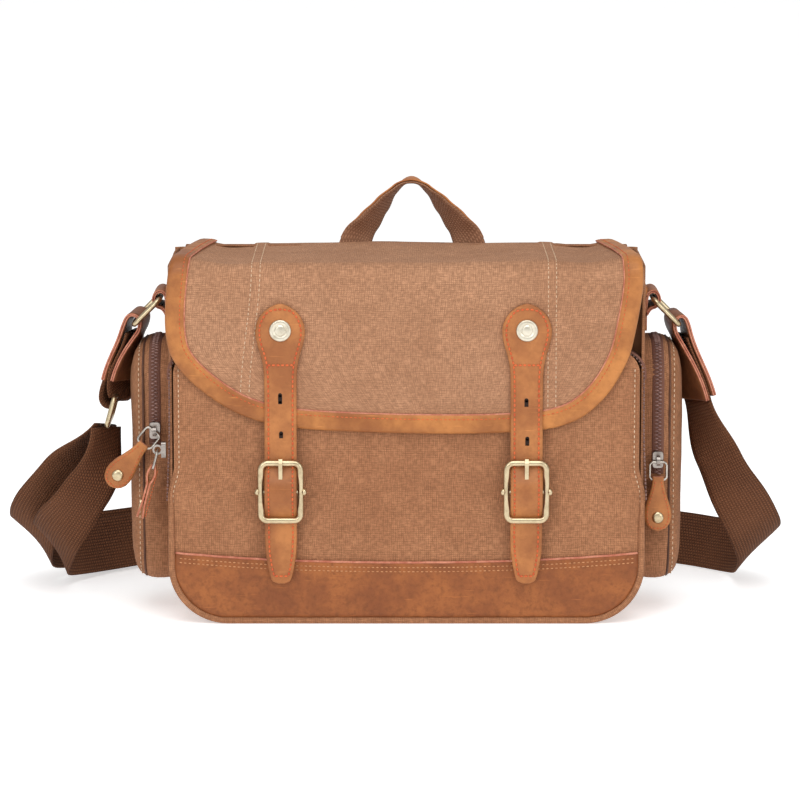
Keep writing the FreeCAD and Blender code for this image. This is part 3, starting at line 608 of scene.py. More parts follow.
def stitched(name, lines, outs, finish, body, step=3.4 * MM, size=2.3 * MM, thick=0.42 * MM):
    """Rows of stitches along lines, lying flat on faces that look along outs."""
    mesh = bmesh.new()
    for line, out in zip(lines, outs):
        count = max(2, round(long(line) / step))
        spots = evenly(line, count * 2 + 1)
        for index in range(1, count * 2, 2):
            away = Vector(out(spots[index]) if callable(out) else out).normalized()
            ahead = (spots[index + 1] - spots[index - 1]).normalized()
            side = away.cross(ahead).normalized()
            turn = Matrix((side, away, ahead)).transposed().to_4x4()
            shape = Matrix.Diagonal((thick, thick * 0.75, size / 2, 1))
            bmesh.ops.create_uvsphere(
                mesh, u_segments=6, v_segments=4, radius=1,
                matrix=Matrix.Translation(spots[index] + away * 0.1 * MM) @ turn @ shape,
            )
    piece = made(name, mesh, finish)
    if isinstance(body, str):
        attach(piece, body)
    return piece


# The base trim: a deep band of mottled tan leather along the foot of the front, folded over at
# its top edge and held with two rows of stitches.
def trim_top(x):
    return TRIM_TOP + 6.5 * MM * (abs(x) / (156 * MM)) ** 2.2


def trim_face(x, z):
    swell = 0.5 * MM * soft(0, 9 * MM, trim_top(x) - z) + 0.25 * MM * crease(x, z, 60, 4)
    return front_face(x, z) - 1.3 * MM - swell


trim_rows = []
for step in range(40):
    row = []
    for column in range(150):
        x = 155.6 * MM * math.sin(math.pi / 2 * (2 * column / 149 - 1))
        over = max(0.0, abs(x) - HALF + CORNER)
        foot = CORNER - math.sqrt(max((CORNER - 4.4 * MM) ** 2 - over * over, 0))
        z = foot + (trim_top(x) - foot) * step / 39
        lip = 0.9 * MM * (1 - soft(0, 3 * MM, min(z - foot, (156.4 * MM - abs(x)))))
        row.append(Vector((x, trim_face(x, z) + lip, z)))
    trim_rows.append(row)
base_leather = thickened(made("base_leather", facing_out(lofted(trim_rows), (0, -1, 0)), hide(
    "base_leather_skin", (0.315, 0.101, 0.025), (0.200, 0.057, 0.014), gloss=0.5, cloud_size=34, patch=0.6,
)), 1.2 * MM)
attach(base_leather, "bag")
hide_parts("base_trim")


def along_trim(drop, lift=0.0, reach=153):
    return [
        Vector((x * MM, trim_face(x * MM, trim_top(x * MM) - drop) - lift, trim_top(x * MM) - drop))
        for x in range(-reach, reach + 1, 2)
    ]


trim_edge = made("base_leather_edge", tube(along_trim(0.2 * MM, -0.1 * MM, 155), 0.75 * MM, 8), raw_edge)
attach(trim_edge, "bag")
stitched("base_stitches", [along_trim(3.6 * MM), along_trim(6.4 * MM)], [(0, -1, 0)] * 2, tan_thread, "bag", 3.0 * MM, 1.9 * MM)
side_seams = []
for sign in (-1, 1):
    seam = []
    for z in range(51, 176, 3):
        x = sign * (half_width(z * MM) - 4.4 * MM * soft(86, 108, z) - 3.4 * MM)
        seam.append(Vector((x, front_face(x, z * MM) + turned_back(x, z * MM) * 0.6 - 0.1 * MM, z * MM)))
    side_seams.append(seam)
stitched("front_side_stitches", side_seams, [(0, -1, 0)] * 2, cream_thread, "bag", 3.4 * MM, 2.2 * MM)


# The flap: canvas sewn at the back's top edge, laid over the top and down the front. Two flat
# felled seams join its three panels. It is drawn flat first, then wrapped over the bag.
TOP_Z, ROLL = 245 * MM, 10 * MM
FLAT_TOP = 49 * MM
ROLLED = FLAT_TOP + ROLL * math.pi / 2


def wrapped(x, s, lift=0.0):
    """A spot on the flap, s along it from the middle of the top towards the hanging end."""
    if s < FLAT_TOP:
        return Vector((x, -s, TOP_Z + lift))
    if s < ROLLED:
        turn = (s - FLAT_TOP) / ROLL
        reach = ROLL + lift
        return Vector((x, -FLAT_TOP - math.sin(turn) * reach, TOP_Z - ROLL + math.cos(turn) * reach))
    return Vector((x, -FLAT_TOP - ROLL - lift, TOP_Z - ROLL - (s - ROLLED)))


def flap_out(spot):
    """The way the flap's outer face looks at a spot."""
    if spot.z > TOP_Z - ROLL and spot.y < -FLAT_TOP + 0.1 * MM:
        return (0, spot.y + FLAT_TOP, spot.z - TOP_Z + ROLL)
    return (0, 0, 1) if spot.y > -FLAT_TOP else (0, -1, 0)


FLAP_EDGE = [
    (-144, -57), (-147, -40), (-152, 5), (-156, 42), (-158.5, 62), (-160.6, 82), (-160.8, 102), (-157, 120),
    (-140, 139), (-114, 156.5), (-86, 165), (-50, 167.8), (0, 169.6), (60, 169.8), (106, 166), (131, 149),
    (148, 121), (153, 98), (157, 74), (157.4, 62), (156, 42), (152, 5), (147, -40), (144, -57),
]
flap_edge = evenly(traced([Vector((x, s, 0)) * MM for x, s in FLAP_EDGE]), 420)


def inwards(line, index):
    """The way from the flap's edge towards its middle, in the flat."""
    ahead = heading(line, index)
    return Vector((ahead.y, -ahead.x, 0)) if ahead.cross(Vector((0, 0, 1))).dot(Vector((0, 40 * MM, 0)) - line[index]) > 0 else Vector((-ahead.y, ahead.x, 0))


def seam_left(s):
    return (-105 - 8 * soft(54, 150, s / MM)) * MM


def seam_right(s):
    return 100.8 * MM


def flap_lift(x, s):
    """How far the flap's canvas stands off: the felled seams, soft folds, and the raised ears."""
    lift = 0.0
    for fold, side in ((seam_left(s), 1), (seam_right(s), -1)):
        from_fold = (x - fold) * side
        lift += 0.55 * MM * soft(-0.5 * MM, 0.3 * MM, from_fold) * (1 - soft(9.2 * MM, 10.4 * MM, from_fold))
        lift -= 0.4 * MM * math.exp(-((from_fold + 0.9 * MM) / (0.8 * MM)) ** 2)
    on_top = 1 - soft(42 * MM, 62 * MM, s)
    ear = soft(122 * MM, 148 * MM, abs(x)) * 2.6 - 1.3 * math.exp(-(((abs(x) - 118 * MM) / (14 * MM)) ** 2))
    lift += ear * MM * on_top * soft(-60 * MM, 0, s + 60 * MM)
    lift += (crease(x, s, 11, 1.7) * 1.0 + crease(x, s, 30, 6.1) * 0.4) * MM * (0.35 + 0.9 * on_top)
    return lift - 0.2 * MM


def side_at(half, s):
    for one, two in zip(half, half[1:]):
        if (one.y - s) * (two.y - s) <= 0 and abs(two.y - one.y) > 1e-9:
            return one.lerp(two, (s - one.y) / (two.y - one.y)).x
    return half[-1].x


cut = [point + inwards(flap_edge, index) * 4 * MM for index, point in enumerate(flap_edge)]
left_cut = [p for p in cut if p.x < -20 * MM]
right_cut = [p for p in cut if p.x > 20 * MM][::-1]
lowest = min(left_cut[-1].y, right_cut[-1].y) - 0.2 * MM


def flap_cloth(name, first, last, rows, ease=1.0):
    """A stretch of the flap's canvas between two distances along it."""
    made_rows = []
    for row in range(rows):
        s = first + (last - first) * (1 - (1 - row / (rows - 1)) ** ease)
        left, right = side_at(left_cut, s), side_at(right_cut, s)
        columns = [left + (right - left) * c / 170 for c in range(171)]
        made_rows.append([wrapped(x, s, flap_lift(x, s)) for x in columns])
    return thickened(made(name, facing_out(lofted(made_rows), (0, -1, 1)), canvas_flap), 1.6 * MM)


flap_top_cloth = flap_cloth("flap_top_cloth", -56 * MM, 0.0, 26)
flap_front_cloth = flap_cloth("flap_front_cloth", 0.0, lowest, 110, 1.35)


def over_the_edge(piece):
    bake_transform(piece)


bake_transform(flap_top_cloth)
over_the_edge(flap_front_cloth)
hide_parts("flap_top")
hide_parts("flap_front")

# The hem that joins the flap to the back panel, turned down inside the bag's mouth.
HEM = [(53.0, 226), (53.0, 234), (53.0, 240), (52.7, 242.2), (51.4, 243.5), (49.0, 243.8), (45, 243.8), (40, 243.8)]
hem_rows = [[Vector((x, y, z)) * MM for x in range(-152, 153, 4)] for y, z in HEM]
flap_hem = thickened(made("flap_hem", facing_out(lofted(hem_rows), (0, -1, -1)), canvas_side_shaded), 0.8 * MM)
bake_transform(flap_hem)

seam_lines = []
for fold, offsets in ((seam_left, (2.2, 7.9)), (seam_right, (-1.4, -6.7))):
    for offset in offsets:
        run = [k * MM for k in range(-52, 144 if offset > 0 else 154, 2)]
        seam_lines.append([
            wrapped(fold(s) + offset * MM, s, flap_lift(fold(s) + offset * MM, s)) for s in run
        ])
top_runs = [[p for p in line if p.y > 0.001] for line in seam_lines]
front_runs = [[p for p in line if p.y < 0.001] for line in seam_lines]
flap_top_stitches = stitched("flap_top_stitches", top_runs, [flap_out] * 4, cream_thread, None, 3.2 * MM, 2.2 * MM, 0.36 * MM)
flap_front_stitches = stitched("flap_front_stitches", front_runs, [flap_out] * 4, cream_thread, None, 3.2 * MM, 2.2 * MM, 0.36 * MM)
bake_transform(flap_top_stitches)
over_the_edge(flap_front_stitches)


# The flap's binding: a strip of tan leather folded round the canvas edge and sewn through, with
# its cut edge left raw on the inside.
binding_leather = hide("binding_leather", (0.470, 0.182, 0.046), (0.250, 0.080, 0.019), gloss=0.45, cloud_size=22, patch=0.3)
BINDING_TOP = [(13.0, 0.2), (12.8, 1.0), (11.5, 1.5), (8, 1.75), (4, 1.85), (1.6, 1.5), (0.4, 0.6)]
BINDING_UNDER = [(0, -0.6), (0.5, -1.7), (2, -2.3), (6, -2.5), (12, -2.4), (13.0, 0.2)]


def binding_base(spot):
    return max(flap_lift(spot.x, spot.y), -0.6 * MM) if spot.y < 60 * MM else 0.3 * flap_lift(spot.x, spot.y)


def binding_piece(name, first, last):
    rows = []
    for index in range(first, last):
        point, inward = flap_edge[index], inwards(flap_edge, index)
        base = binding_base(point + inward * 8 * MM)
        rows.append([
            wrapped(*(point + inward * across * MM).xy, base + lift * MM) for across, lift in BINDING_TOP + BINDING_UNDER
        ])
    return made(name, lofted(rows, closed=True), binding_leather)


def binding_line(offset, lift, first, last):
    spots = []
    for index in range(first, last):
        inward = inwards(flap_edge, index)
        point = flap_edge[index] + inward * offset
        spots.append(wrapped(point.x, point.y, binding_base(flap_edge[index] + inward * 8 * MM) + lift))
    return spots


middle_left = next(i for i, p in enumerate(flap_edge) if p.y > 0)
middle_right = next(i for i, p in enumerate(flap_edge) if p.y < 0 and i > 200)
count = len(flap_edge)
for name, first, last, front_part in (
    ("flap_binding_front", middle_left, middle_right, True),
    ("flap_binding_left", 0, middle_left + 1, False),
    ("flap_binding_right", middle_right - 1, count, False),
):
    strip = binding_piece(name, first, last)
    edge = made(name + "_raw_edge", tube(binding_line(12.9 * MM, 0.55 * MM, first, last), 0.6 * MM, 6), raw_edge)
    sewn = stitched(
        name + "_stitches", [binding_line(9.9 * MM, 1.62 * MM, first, last)], [flap_out], orange_thread, None,
        3.0 * MM, 2.0 * MM, 0.36 * MM,
    )
    for piece in (strip, edge, sewn):
        if front_part:
            over_the_edge(piece)
        else:
            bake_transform(piece)
    if front_part:
        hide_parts("flap_binding")
    elif name.endswith("left"):
        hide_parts("flap_edges")


# The two closing straps: tan leather sewn down to the flap under a pointed head, with two spare
# holes drawn as dark patches of painted shade, passed over the buckle's bar and tapered at the tip.
strap_leather = hide("strap_leather", (0.440, 0.168, 0.048), (0.270, 0.089, 0.024), gloss=0.42, cloud_size=26, patch=0.3)
# Near-black leather for the strap slots: painted shade standing in for the holes.
painted_hole_shade = hide("painted_hole_shade", (0.03, 0.012, 0.006), (0.015, 0.006, 0.003), gloss=0.8)
HEAD_HALF = [
    (218.0, 0.6), (217.3, 3.2), (215.5, 6.8), (212.5, 10.8), (208.5, 14.0), (204.0, 15.9), (199.5, 16.5), (195.0, 16.2),
    (189.0, 14.7), (183.0, 12.8), (177.0, 11.5), (170.0, 10.85), (160.0, 10.7), (60.0, 10.6), (50.0, 10.2), (40.0, 8.7),
    (34.0, 7.3), (31.0, 6.3), (29.6, 4.6), (29.0, 2.2),
]
STRAP_SIDE = [
    (-60.3, 218), (-60.6, 205), (-60.6, 190), (-60.6, 165), (-60.8, 148), (-61.8, 138), (-63.0, 128), (-63.3, 118),
    (-63.5, 110), (-67.0, 103.5), (-71.4, 97), (-71.4, 87), (-67.0, 80.5), (-63.9, 74), (-63.5, 66), (-63.2, 50),
    (-62.8, 40), (-62.4, 29),
]


def strap_half(z):
    for (high, wide), (low, narrow) in zip(HEAD_HALF, HEAD_HALF[1:]):
        if z >= low * MM:
            share = (high * MM - z) / ((high - low) * MM)
            return (wide + (narrow - wide) * min(1.0, max(0.0, share))) * MM
    return HEAD_HALF[-1][1] * MM


for side, x, slots in (("left", -84 * MM, (154.0, 128.5)), ("right", 80 * MM, (150.5, 125.0))):
    fold = dict(start=(x, -61 * MM, 146 * MM), end=(x, -62 * MM, 132 * MM))
    strap_line = evenly(traced([Vector((x, y * MM, z * MM)) for y, z in STRAP_SIDE]), 150)
    mesh = band(
        strap_line, [(0, (1, 0, 0)), (1, (1, 0, 0))],
        lambda share: 2 * strap_half(strap_line[round(share * 149)].z), 2.3 * MM, columns=13, rounding=0.3,
    )
    for face in mesh.faces:
        if abs(face.normal.x) > 0.8 or abs(face.normal.z) > 0.95:
            face.material_index = 1
    strap = made("strap_leather_" + side, mesh, strap_leather, raw_edge)
    front_line = [(p, heading(strap_line, i).cross(Vector((1, 0, 0))).normalized()) for i, p in enumerate(strap_line)]
    outward = front_line[40][1] if front_line[40][1].y < 0 else -front_line[40][1]
    rows, sets = [[], []], []
    for p, away in front_line:
        away = away if away.y < 0 else -away
        if 33 * MM < p.z < 214 * MM:
            inset = strap_half(p.z) - 2.6 * MM
            for row, sign in zip(rows, (-1, 1)):
                row.append(p + Vector((sign * max(inset, 0.2 * MM), 0, 0)) + away * 1.2 * MM)
    tip = [rows[0][-1].lerp(rows[1][-1], k / 4) for k in range(5)]
    crown = [
        rows[0][0].lerp(rows[1][0], k / 8) + Vector((0, 0, (1 - (k / 4 - 1) ** 2) * 1.4 * MM)) for k in range(9)
    ]
    cross = [Vector((x + k * MM, -61.72 * MM, 176.8 * MM)) for k in range(-9, 10, 3)]
    sewn = stitched(
        f"strap_stitches_{side}", [rows[0], rows[1], tip, crown], [(0, -1, 0)] * 4, orange_thread, None, 3.2 * MM, 2.5 * MM, 0.75 * MM,
    )
    bar_tack = stitched(f"strap_bar_stitches_{side}", [cross], [(0, -1, 0)], orange_thread, "flap_front", 2.8 * MM, 2.4 * MM, 0.8 * MM)
    # The slots: thin dark discs and a box laid on the strap's front face, painted shade where the holes are.
    holes = bmesh.new()
    for z in slots:
        found = min(strap_line, key=lambda p: abs(p.z - z * MM))
        for end in (-1, 1):
            bmesh.ops.create_cone(
                holes, cap_ends=True, segments=16, radius1=1.35 * MM, radius2=1.35 * MM, depth=0.3 * MM,
                matrix=Matrix.Translation((x + (0.4 if z < 140 else -0.2) * MM, found.y - 1.08 * MM, z * MM + end * 2.7 * MM))
                @ Euler((math.pi / 2, 0, 0)).to_matrix().to_4x4(),
            )
        bmesh.ops.create_cube(
            holes, size=1,
            matrix=Matrix.Translation((x + (0.4 if z < 140 else -0.2) * MM, found.y - 1.08 * MM, z * MM))
            @ Matrix.Diagonal((2.7 * MM, 0.3 * MM, 5.4 * MM, 1)),
        )
    painted_slot_shade = made(f"strap_hole_shade_{side}", holes, painted_hole_shade, smooth=False)
    for piece in (strap, sewn, painted_slot_shade):
        "strap_" + side
        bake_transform(piece)
    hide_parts("strap_upper_" + side, "strap_lower_" + side)


# The metal: pale antique brass for the buckles, rings, caps and rivets, dark plating for the
# zip sliders and their links.
def metal(name, bright, dark, gloss, stain=0.5):
    plate = Finish(name)
    spot = plate.place()
    tarnish = plate.clouds(spot, 130, 4, 0.65)
    brushed = plate.clouds(plate.place((30, 400, 400)), 6, 2)
    colour = plate.mix(tarnish.between(0.38, 0.72) * stain, bright, dark)
    return plate.done(
        Base_Color=colour, Metallic=1.0, Roughness=brushed * 0.14 + tarnish * 0.12 + gloss,
        Normal=plate.bump(brushed, 0.12, 0.1 * MM),
    )


brass = metal("antique_brass", (0.580, 0.480, 0.310), (0.240, 0.165, 0.085), 0.18)
cap_metal = metal("cap_metal", (0.660, 0.610, 0.500), (0.330, 0.270, 0.180), 0.22)
gunmetal = metal("dark_plating", (0.36, 0.32, 0.29), (0.09, 0.07, 0.06), 0.16)
link_steel = metal("link_steel", (0.50, 0.46, 0.41), (0.16, 0.13, 0.11), 0.14)
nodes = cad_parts


def dressed(finish, *names):
    """Gives a CAD node its finish."""
    for name in names:
        node = nodes[name]
        node.data.materials.clear()
        node.data.materials.append(finish)


BUCKLE_HIGH, BUCKLE_WIDE, BUCKLE_CORNER = 43.0, 30.6, 6.5
for side, x in (("left", -84), ("right", 80)):
    half_x, half_z = BUCKLE_WIDE / 2 - 2.1, BUCKLE_HIGH / 2 - 2.1
    bend = BUCKLE_CORNER - 2.1
    ring = []
    for cx, cz, start in ((half_x - bend, half_z - bend, 0.0), (bend - half_x, half_z - bend, 0.5), (bend - half_x, bend - half_z, 1.0), (half_x - bend, bend - half_z, 1.5)):
        ring += [
            Vector((x + cx + bend * math.cos(math.pi * (start + k / 20)), -66.8, 92 + cz + bend * math.sin(math.pi * (start + k / 20)))) * MM
            for k in range(11)
        ]
    ring = evenly(ring + [ring[0].copy()], 121)
    rows = []
    for index, point in enumerate(ring):
        ahead = (ring[(index + 1) % 120] - ring[(index - 1) % 120]).normalized()
        side_way = Vector((0, 1, 0)).cross(ahead).normalized()
        rows.append([
            point + side_way * (math.cos(a) * 2.15 * MM) + Vector((0, math.sin(a) * (1.75 if math.sin(a) > 0 else 1.9) * MM, 0))
            for a in [2 * math.pi * k / 14 for k in range(15)]
        ])
    mesh = lofted(rows)
    bmesh.ops.remove_doubles(mesh, verts=mesh.verts, dist=1e-5)
    bmesh.ops.recalc_face_normals(mesh, faces=mesh.faces)
    for sign in (-1, 1):
        bmesh.ops.create_uvsphere(
            mesh, u_segments=16, v_segments=10, radius=1,
            matrix=Matrix.Translation((x * MM + sign * 15.6 * MM, -66.8 * MM, 92 * MM)) @ Matrix.Diagonal((2.0 * MM, 2.3 * MM, 2.4 * MM, 1)),
        )
    frame_piece = made("buckle_frame_brass_" + side, mesh, brass)
    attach(frame_piece, "strap_" + side)
    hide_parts("buckle_frame_" + side)
for side in ("left", "right"):
    dressed(brass, "buckle_bar_" + side, "prong_" + side, "ring_" + side, "snap_stud_" + side)
    dressed(brass, "pull_rivet_" + side)
    dressed(link_steel, "pull_link_" + side)
    dressed(gunmetal, "slider_" + side)
dressed(brass, "lower_ring", "adjuster", "snap_sockets", "pull_rivet_front")
dressed(link_steel, "pull_link_front")
dressed(gunmetal, "slider_front")
dressed(strap_leather, "anchor_patch_left", "anchor_patch_right", "snap_tabs")
dressed(canvas_side_shaded, "inner_wall", "base_board")

# Each strap head carries a pressed brass cap, a shallow dish with a ring round its button.
CAP_PROFILE = [(0, 1.25), (2.9, 1.25), (3.4, 1.05), (3.7, 0.55), (4.1, 0.55), (4.5, 0.95), (6.4, 0.9), (7.2, 0.5), (7.4, -0.6)]
for side, x in (("left", -84 * MM), ("right", 80 * MM)):
    mesh = bmesh.new()
    spots = [mesh.verts.new((reach * MM, 0, up * MM)) for reach, up in CAP_PROFILE]
    edges = [mesh.edges.new(pair) for pair in zip(spots, spots[1:])]
    bmesh.ops.spin(mesh, geom=spots + edges, cent=(0, 0, 0), axis=(0, 0, 1), angle=2 * math.pi, steps=48, use_merge=True)
    bmesh.ops.remove_doubles(mesh, verts=mesh.verts, dist=1e-6)
    bmesh.ops.holes_fill(mesh, edges=[e for e in mesh.edges if e.is_boundary], sides=0)
    bmesh.ops.recalc_face_normals(mesh, faces=mesh.faces)
    mesh.transform(Matrix.Translation((x, -62.0 * MM, 200 * MM)) @ Euler((math.pi / 2, 0, 0)).to_matrix().to_4x4())
    cap = made("strap_cap_" + side, mesh, cap_metal)
    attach(cap, "flap_front")
    if side == "left":
        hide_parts("snap_caps")


# The two side pockets: canvas boxes with a rounded rim, zipped down the front edge. A dark corded
# seam and a row of stitches run round the outer face.
POCKET_Y, POCKET_Z, POCKET_ROUND = (-30 * MM, 46 * MM), (22 * MM, 186 * MM), 24 * MM
POCKET_STEPS = [
    (157.0, 0.6), (160.0, 0.3), (165.0, -0.4), (170.0, -0.5), (174.0, 0.0), (176.4, 0.7), (177.3, 1.9), (177.9, 2.1),
    (178.6, 1.6), (180.0, 2.6), (182.2, 4.4), (184.0, 7.4), (185.4, 12.0), (186.6, 18.0), (187.4, 25.0), (187.8, 32.0), (188.0, 37.5),
]


def pocket_ring(inset, count=132):
    """The pocket's rounded outline, drawn in by inset, as (y, z) spots at even steps."""
    radius = max(POCKET_ROUND - inset, 0.4 * MM)
    low, high = POCKET_Z[0] + inset, POCKET_Z[1] - inset
    near, far = POCKET_Y[0] + inset, POCKET_Y[1] - inset
    line = []
    for cy, cz, start in (
        (far - radius, high - radius, 0.0), (near + radius, high - radius, 0.5),
        (near + radius, low + radius, 1.0), (far - radius, low + radius, 1.5),
    ):
        line += [
            Vector((cy + radius * math.cos(math.pi * (start + k / 24)), cz + radius * math.sin(math.pi * (start + k / 24)), 0))
            for k in range(13)
        ]
    return evenly(line + [line[0].copy()], count)


cord_seam = hide("dark_seam_cord", (0.115, 0.045, 0.022), (0.060, 0.022, 0.012), gloss=0.6)
for side, sign in (("left", -1), ("right", 1)):
    rows = []
    for out, inset in POCKET_STEPS:
        row = []
        for y, z, _ in pocket_ring(inset * MM):
            sag = crease(y * 1.3, z, 22, 3.3 + sign) * 1.5 + crease(y * 2, z, 60, 8.8) * 0.5
            middle = soft(0, 30 * MM, min(z - POCKET_Z[0], POCKET_Z[1] - z))
            grow = soft(160, 172, out) * middle
            away = Vector((0, y - 8 * MM, 0)).normalized() if abs(y - 8 * MM) > 1e-6 else Vector((0, 1, 0))
            spot = Vector((sign * (out + sag * grow * 0.9) * MM, y, z)) + away * (sag * 0.5 * MM * grow)
            row.append(spot)
        rows.append(row)
    pocket = made("side_pocket_cloth_" + side, lofted(rows, closed=True), canvas_side_shaded)
    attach(pocket, "bag")
    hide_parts("side_pocket_" + side)
    ring = [Vector((sign * 177.6 * MM, y, z)) for y, z, _ in pocket_ring(1.5 * MM)]
    seam = made("side_pocket_seam_" + side, tube(ring, 0.8 * MM, 8, up=Vector((1, 0, 0))), cord_seam)
    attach(seam, "bag")
    sewn_ring = [Vector((sign * 180.6 * MM, y, z)) for y, z, _ in pocket_ring(2.55 * MM)]
    stitched(
        "side_pocket_stitches_" + side, [sewn_ring],
        [lambda p, sign=sign: (sign * 0.55, (p.y - 8 * MM) * 20, (p.z - 104 * MM) * 8)], cream_thread, "bag", 3.6 * MM, 2.3 * MM,
    )


# The zips: brown nylon coils whose small teeth lock down the middle of a woven tape.
def coil(name, spots, outs, wide, tooth, finish, nodes_for=(), body="bag"):
    """The coil's teeth along a line: one short rounded bar for each turn of the nylon."""
    mesh = bmesh.new()
    steps = round(long(spots) / tooth)
    line = evenly(spots, steps)
    for index, spot in enumerate(line):
        ahead = heading(line, index)
        out = Vector(outs(spot)).normalized()
        out = (out - ahead * out.dot(ahead)).normalized()
        side = out.cross(ahead).normalized()
        lean = 0.25 if index % 2 else -0.25
        turn = Matrix((side, out, ahead)).transposed().to_4x4()
        shift = side * (wide * 0.22 * (1 if index % 2 else -1))
        bmesh.ops.create_uvsphere(
            mesh, u_segments=6, v_segments=4, radius=1,
            matrix=Matrix.Translation(spot + shift) @ turn @ Matrix.Rotation(lean * 0.4, 4, "Y")
            @ Matrix.Diagonal((wide * 0.36, 0.75 * MM, tooth * 0.46, 1)),
        )
    piece = made(name, mesh, finish)
    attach(piece, body)
    if nodes_for:
        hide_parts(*nodes_for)
    return piece


def nylon(name, colour, shade, gloss):
    made_of = Finish(name)
    spot = made_of.place()
    tint = made_of.mix(made_of.clouds(spot, 200, 3).between(0.3, 0.7), colour, shade)
    grain = made_of.clouds(spot, 1500, 2)
    return made_of.done(Base_Color=tint, Roughness=grain * 0.2 + gloss, Normal=made_of.bump(grain, 0.3, 0.1 * MM))


coil_nylon = nylon("zip_nylon", (0.270, 0.150, 0.125), (0.150, 0.075, 0.062), 0.28)
tape_cloth = woven("zip_tape", (0.190, 0.088, 0.062), (0.090, 0.040, 0.030), 0.9 * MM, 0.9 * MM, 0.15 * MM)
dressed(tape_cloth, "front_zip_tape")
for side, sign, foot in (("left", -1, 118.0), ("right", 1, 98.0)):
    x = sign * 169.7
    path = [(x, -31.0, foot), (x, -31.2, 125), (x, -31.2, 150)]
    path += [(x, -6 - 25.0 * math.cos(a), 162 + 25.0 * math.sin(a)) for a in (0.0, 0.26, 0.52, 0.79, 1.05, 1.31, 1.57)]
    path += [(x, 8, 187.0), (x, 20, 187.0)]
    line = evenly(traced([Vector(p) * MM for p in path]), 160)

    def away(spot):
        return Vector((0, spot.y + 6 * MM, max(spot.z - 162 * MM, 0))) if spot.y < -6 * MM else Vector((0, 0, 1))

    coil("side_zip_teeth_" + side, line, away, 4.4 * MM, 1.25 * MM, coil_nylon, ["side_zip_coil_" + side])
    tape_line = evenly([p.copy() for p in line], 130)
    rows = []
    for index, point in enumerate(tape_line):
        ahead = heading(tape_line, index)
        out = (away(point) - ahead * away(point).dot(ahead)).normalized()
        across = out.cross(ahead).normalized()
        rows.append([point + across * (part * 4.0 * MM) - out * (0.15 * MM + 0.25 * MM * abs(part)) for part in (-1, -0.5, 0, 0.5, 1)])
    mesh = facing_out(lofted(rows), (0, -1, 0.3))
    tape = thickened(made("side_zip_tape_" + side, mesh, tape_cloth), 0.7 * MM)
    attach(tape, "bag")

arch = [(160.6, -51.5, 84), (159.8, -52.8, 104), (158.6, -53.6, 125), (158.4, -53.6, 150), (158.4, -53.6, 168)]
arch += [(143 + 15.4 * math.cos(a), -53.0, 169 + 15.4 * math.sin(a)) for a in (0.26, 0.52, 0.79, 1.05, 1.31, 1.57)]
arch += [(100, -51.5, 184.8), (40, -51.5, 185.4), (0, -51.5, 185.4)]
arch_line = traced([Vector(p) * MM for p in arch])
arch_line += [Vector((-p.x, p.y, p.z)) for p in reversed(arch_line[:-1])]
coil(
    "front_zip_teeth", evenly(arch_line, 500), lambda p: (p.x if abs(p.x) > 143 * MM else 0, 0, max(p.z - 168 * MM, 0)),
    3.8 * MM, 1.3 * MM, coil_nylon, ["front_zip_coil"],
)


# The zip pulls: each a strip of tan leather folded through a wire link, riveted and sewn round.
TAG_HALF = [(0.0, 3.6), (4.0, 3.9), (9.0, 4.8), (15.0, 6.6), (21.0, 8.4), (26.0, 9.1), (30.0, 8.7), (33.0, 7.3), (35.2, 5.2), (36.6, 2.6), (37.0, 0.8)]


def tag_half(down):
    for (low, one), (high, two) in zip(TAG_HALF, TAG_HALF[1:]):
        if down <= high:
            return one + (two - one) * (down - low) / (high - low)
    return TAG_HALF[-1][1]


def tag_place(eye, lean, swing):
    """Where a tag hangs: eye is the bottom of its link, lean is sideways, swing turns it edge on."""
    return Matrix.Translation(Vector(eye) * MM) @ Matrix.Rotation(lean, 4, "Y") @ Matrix.Rotation(swing, 4, "Z")


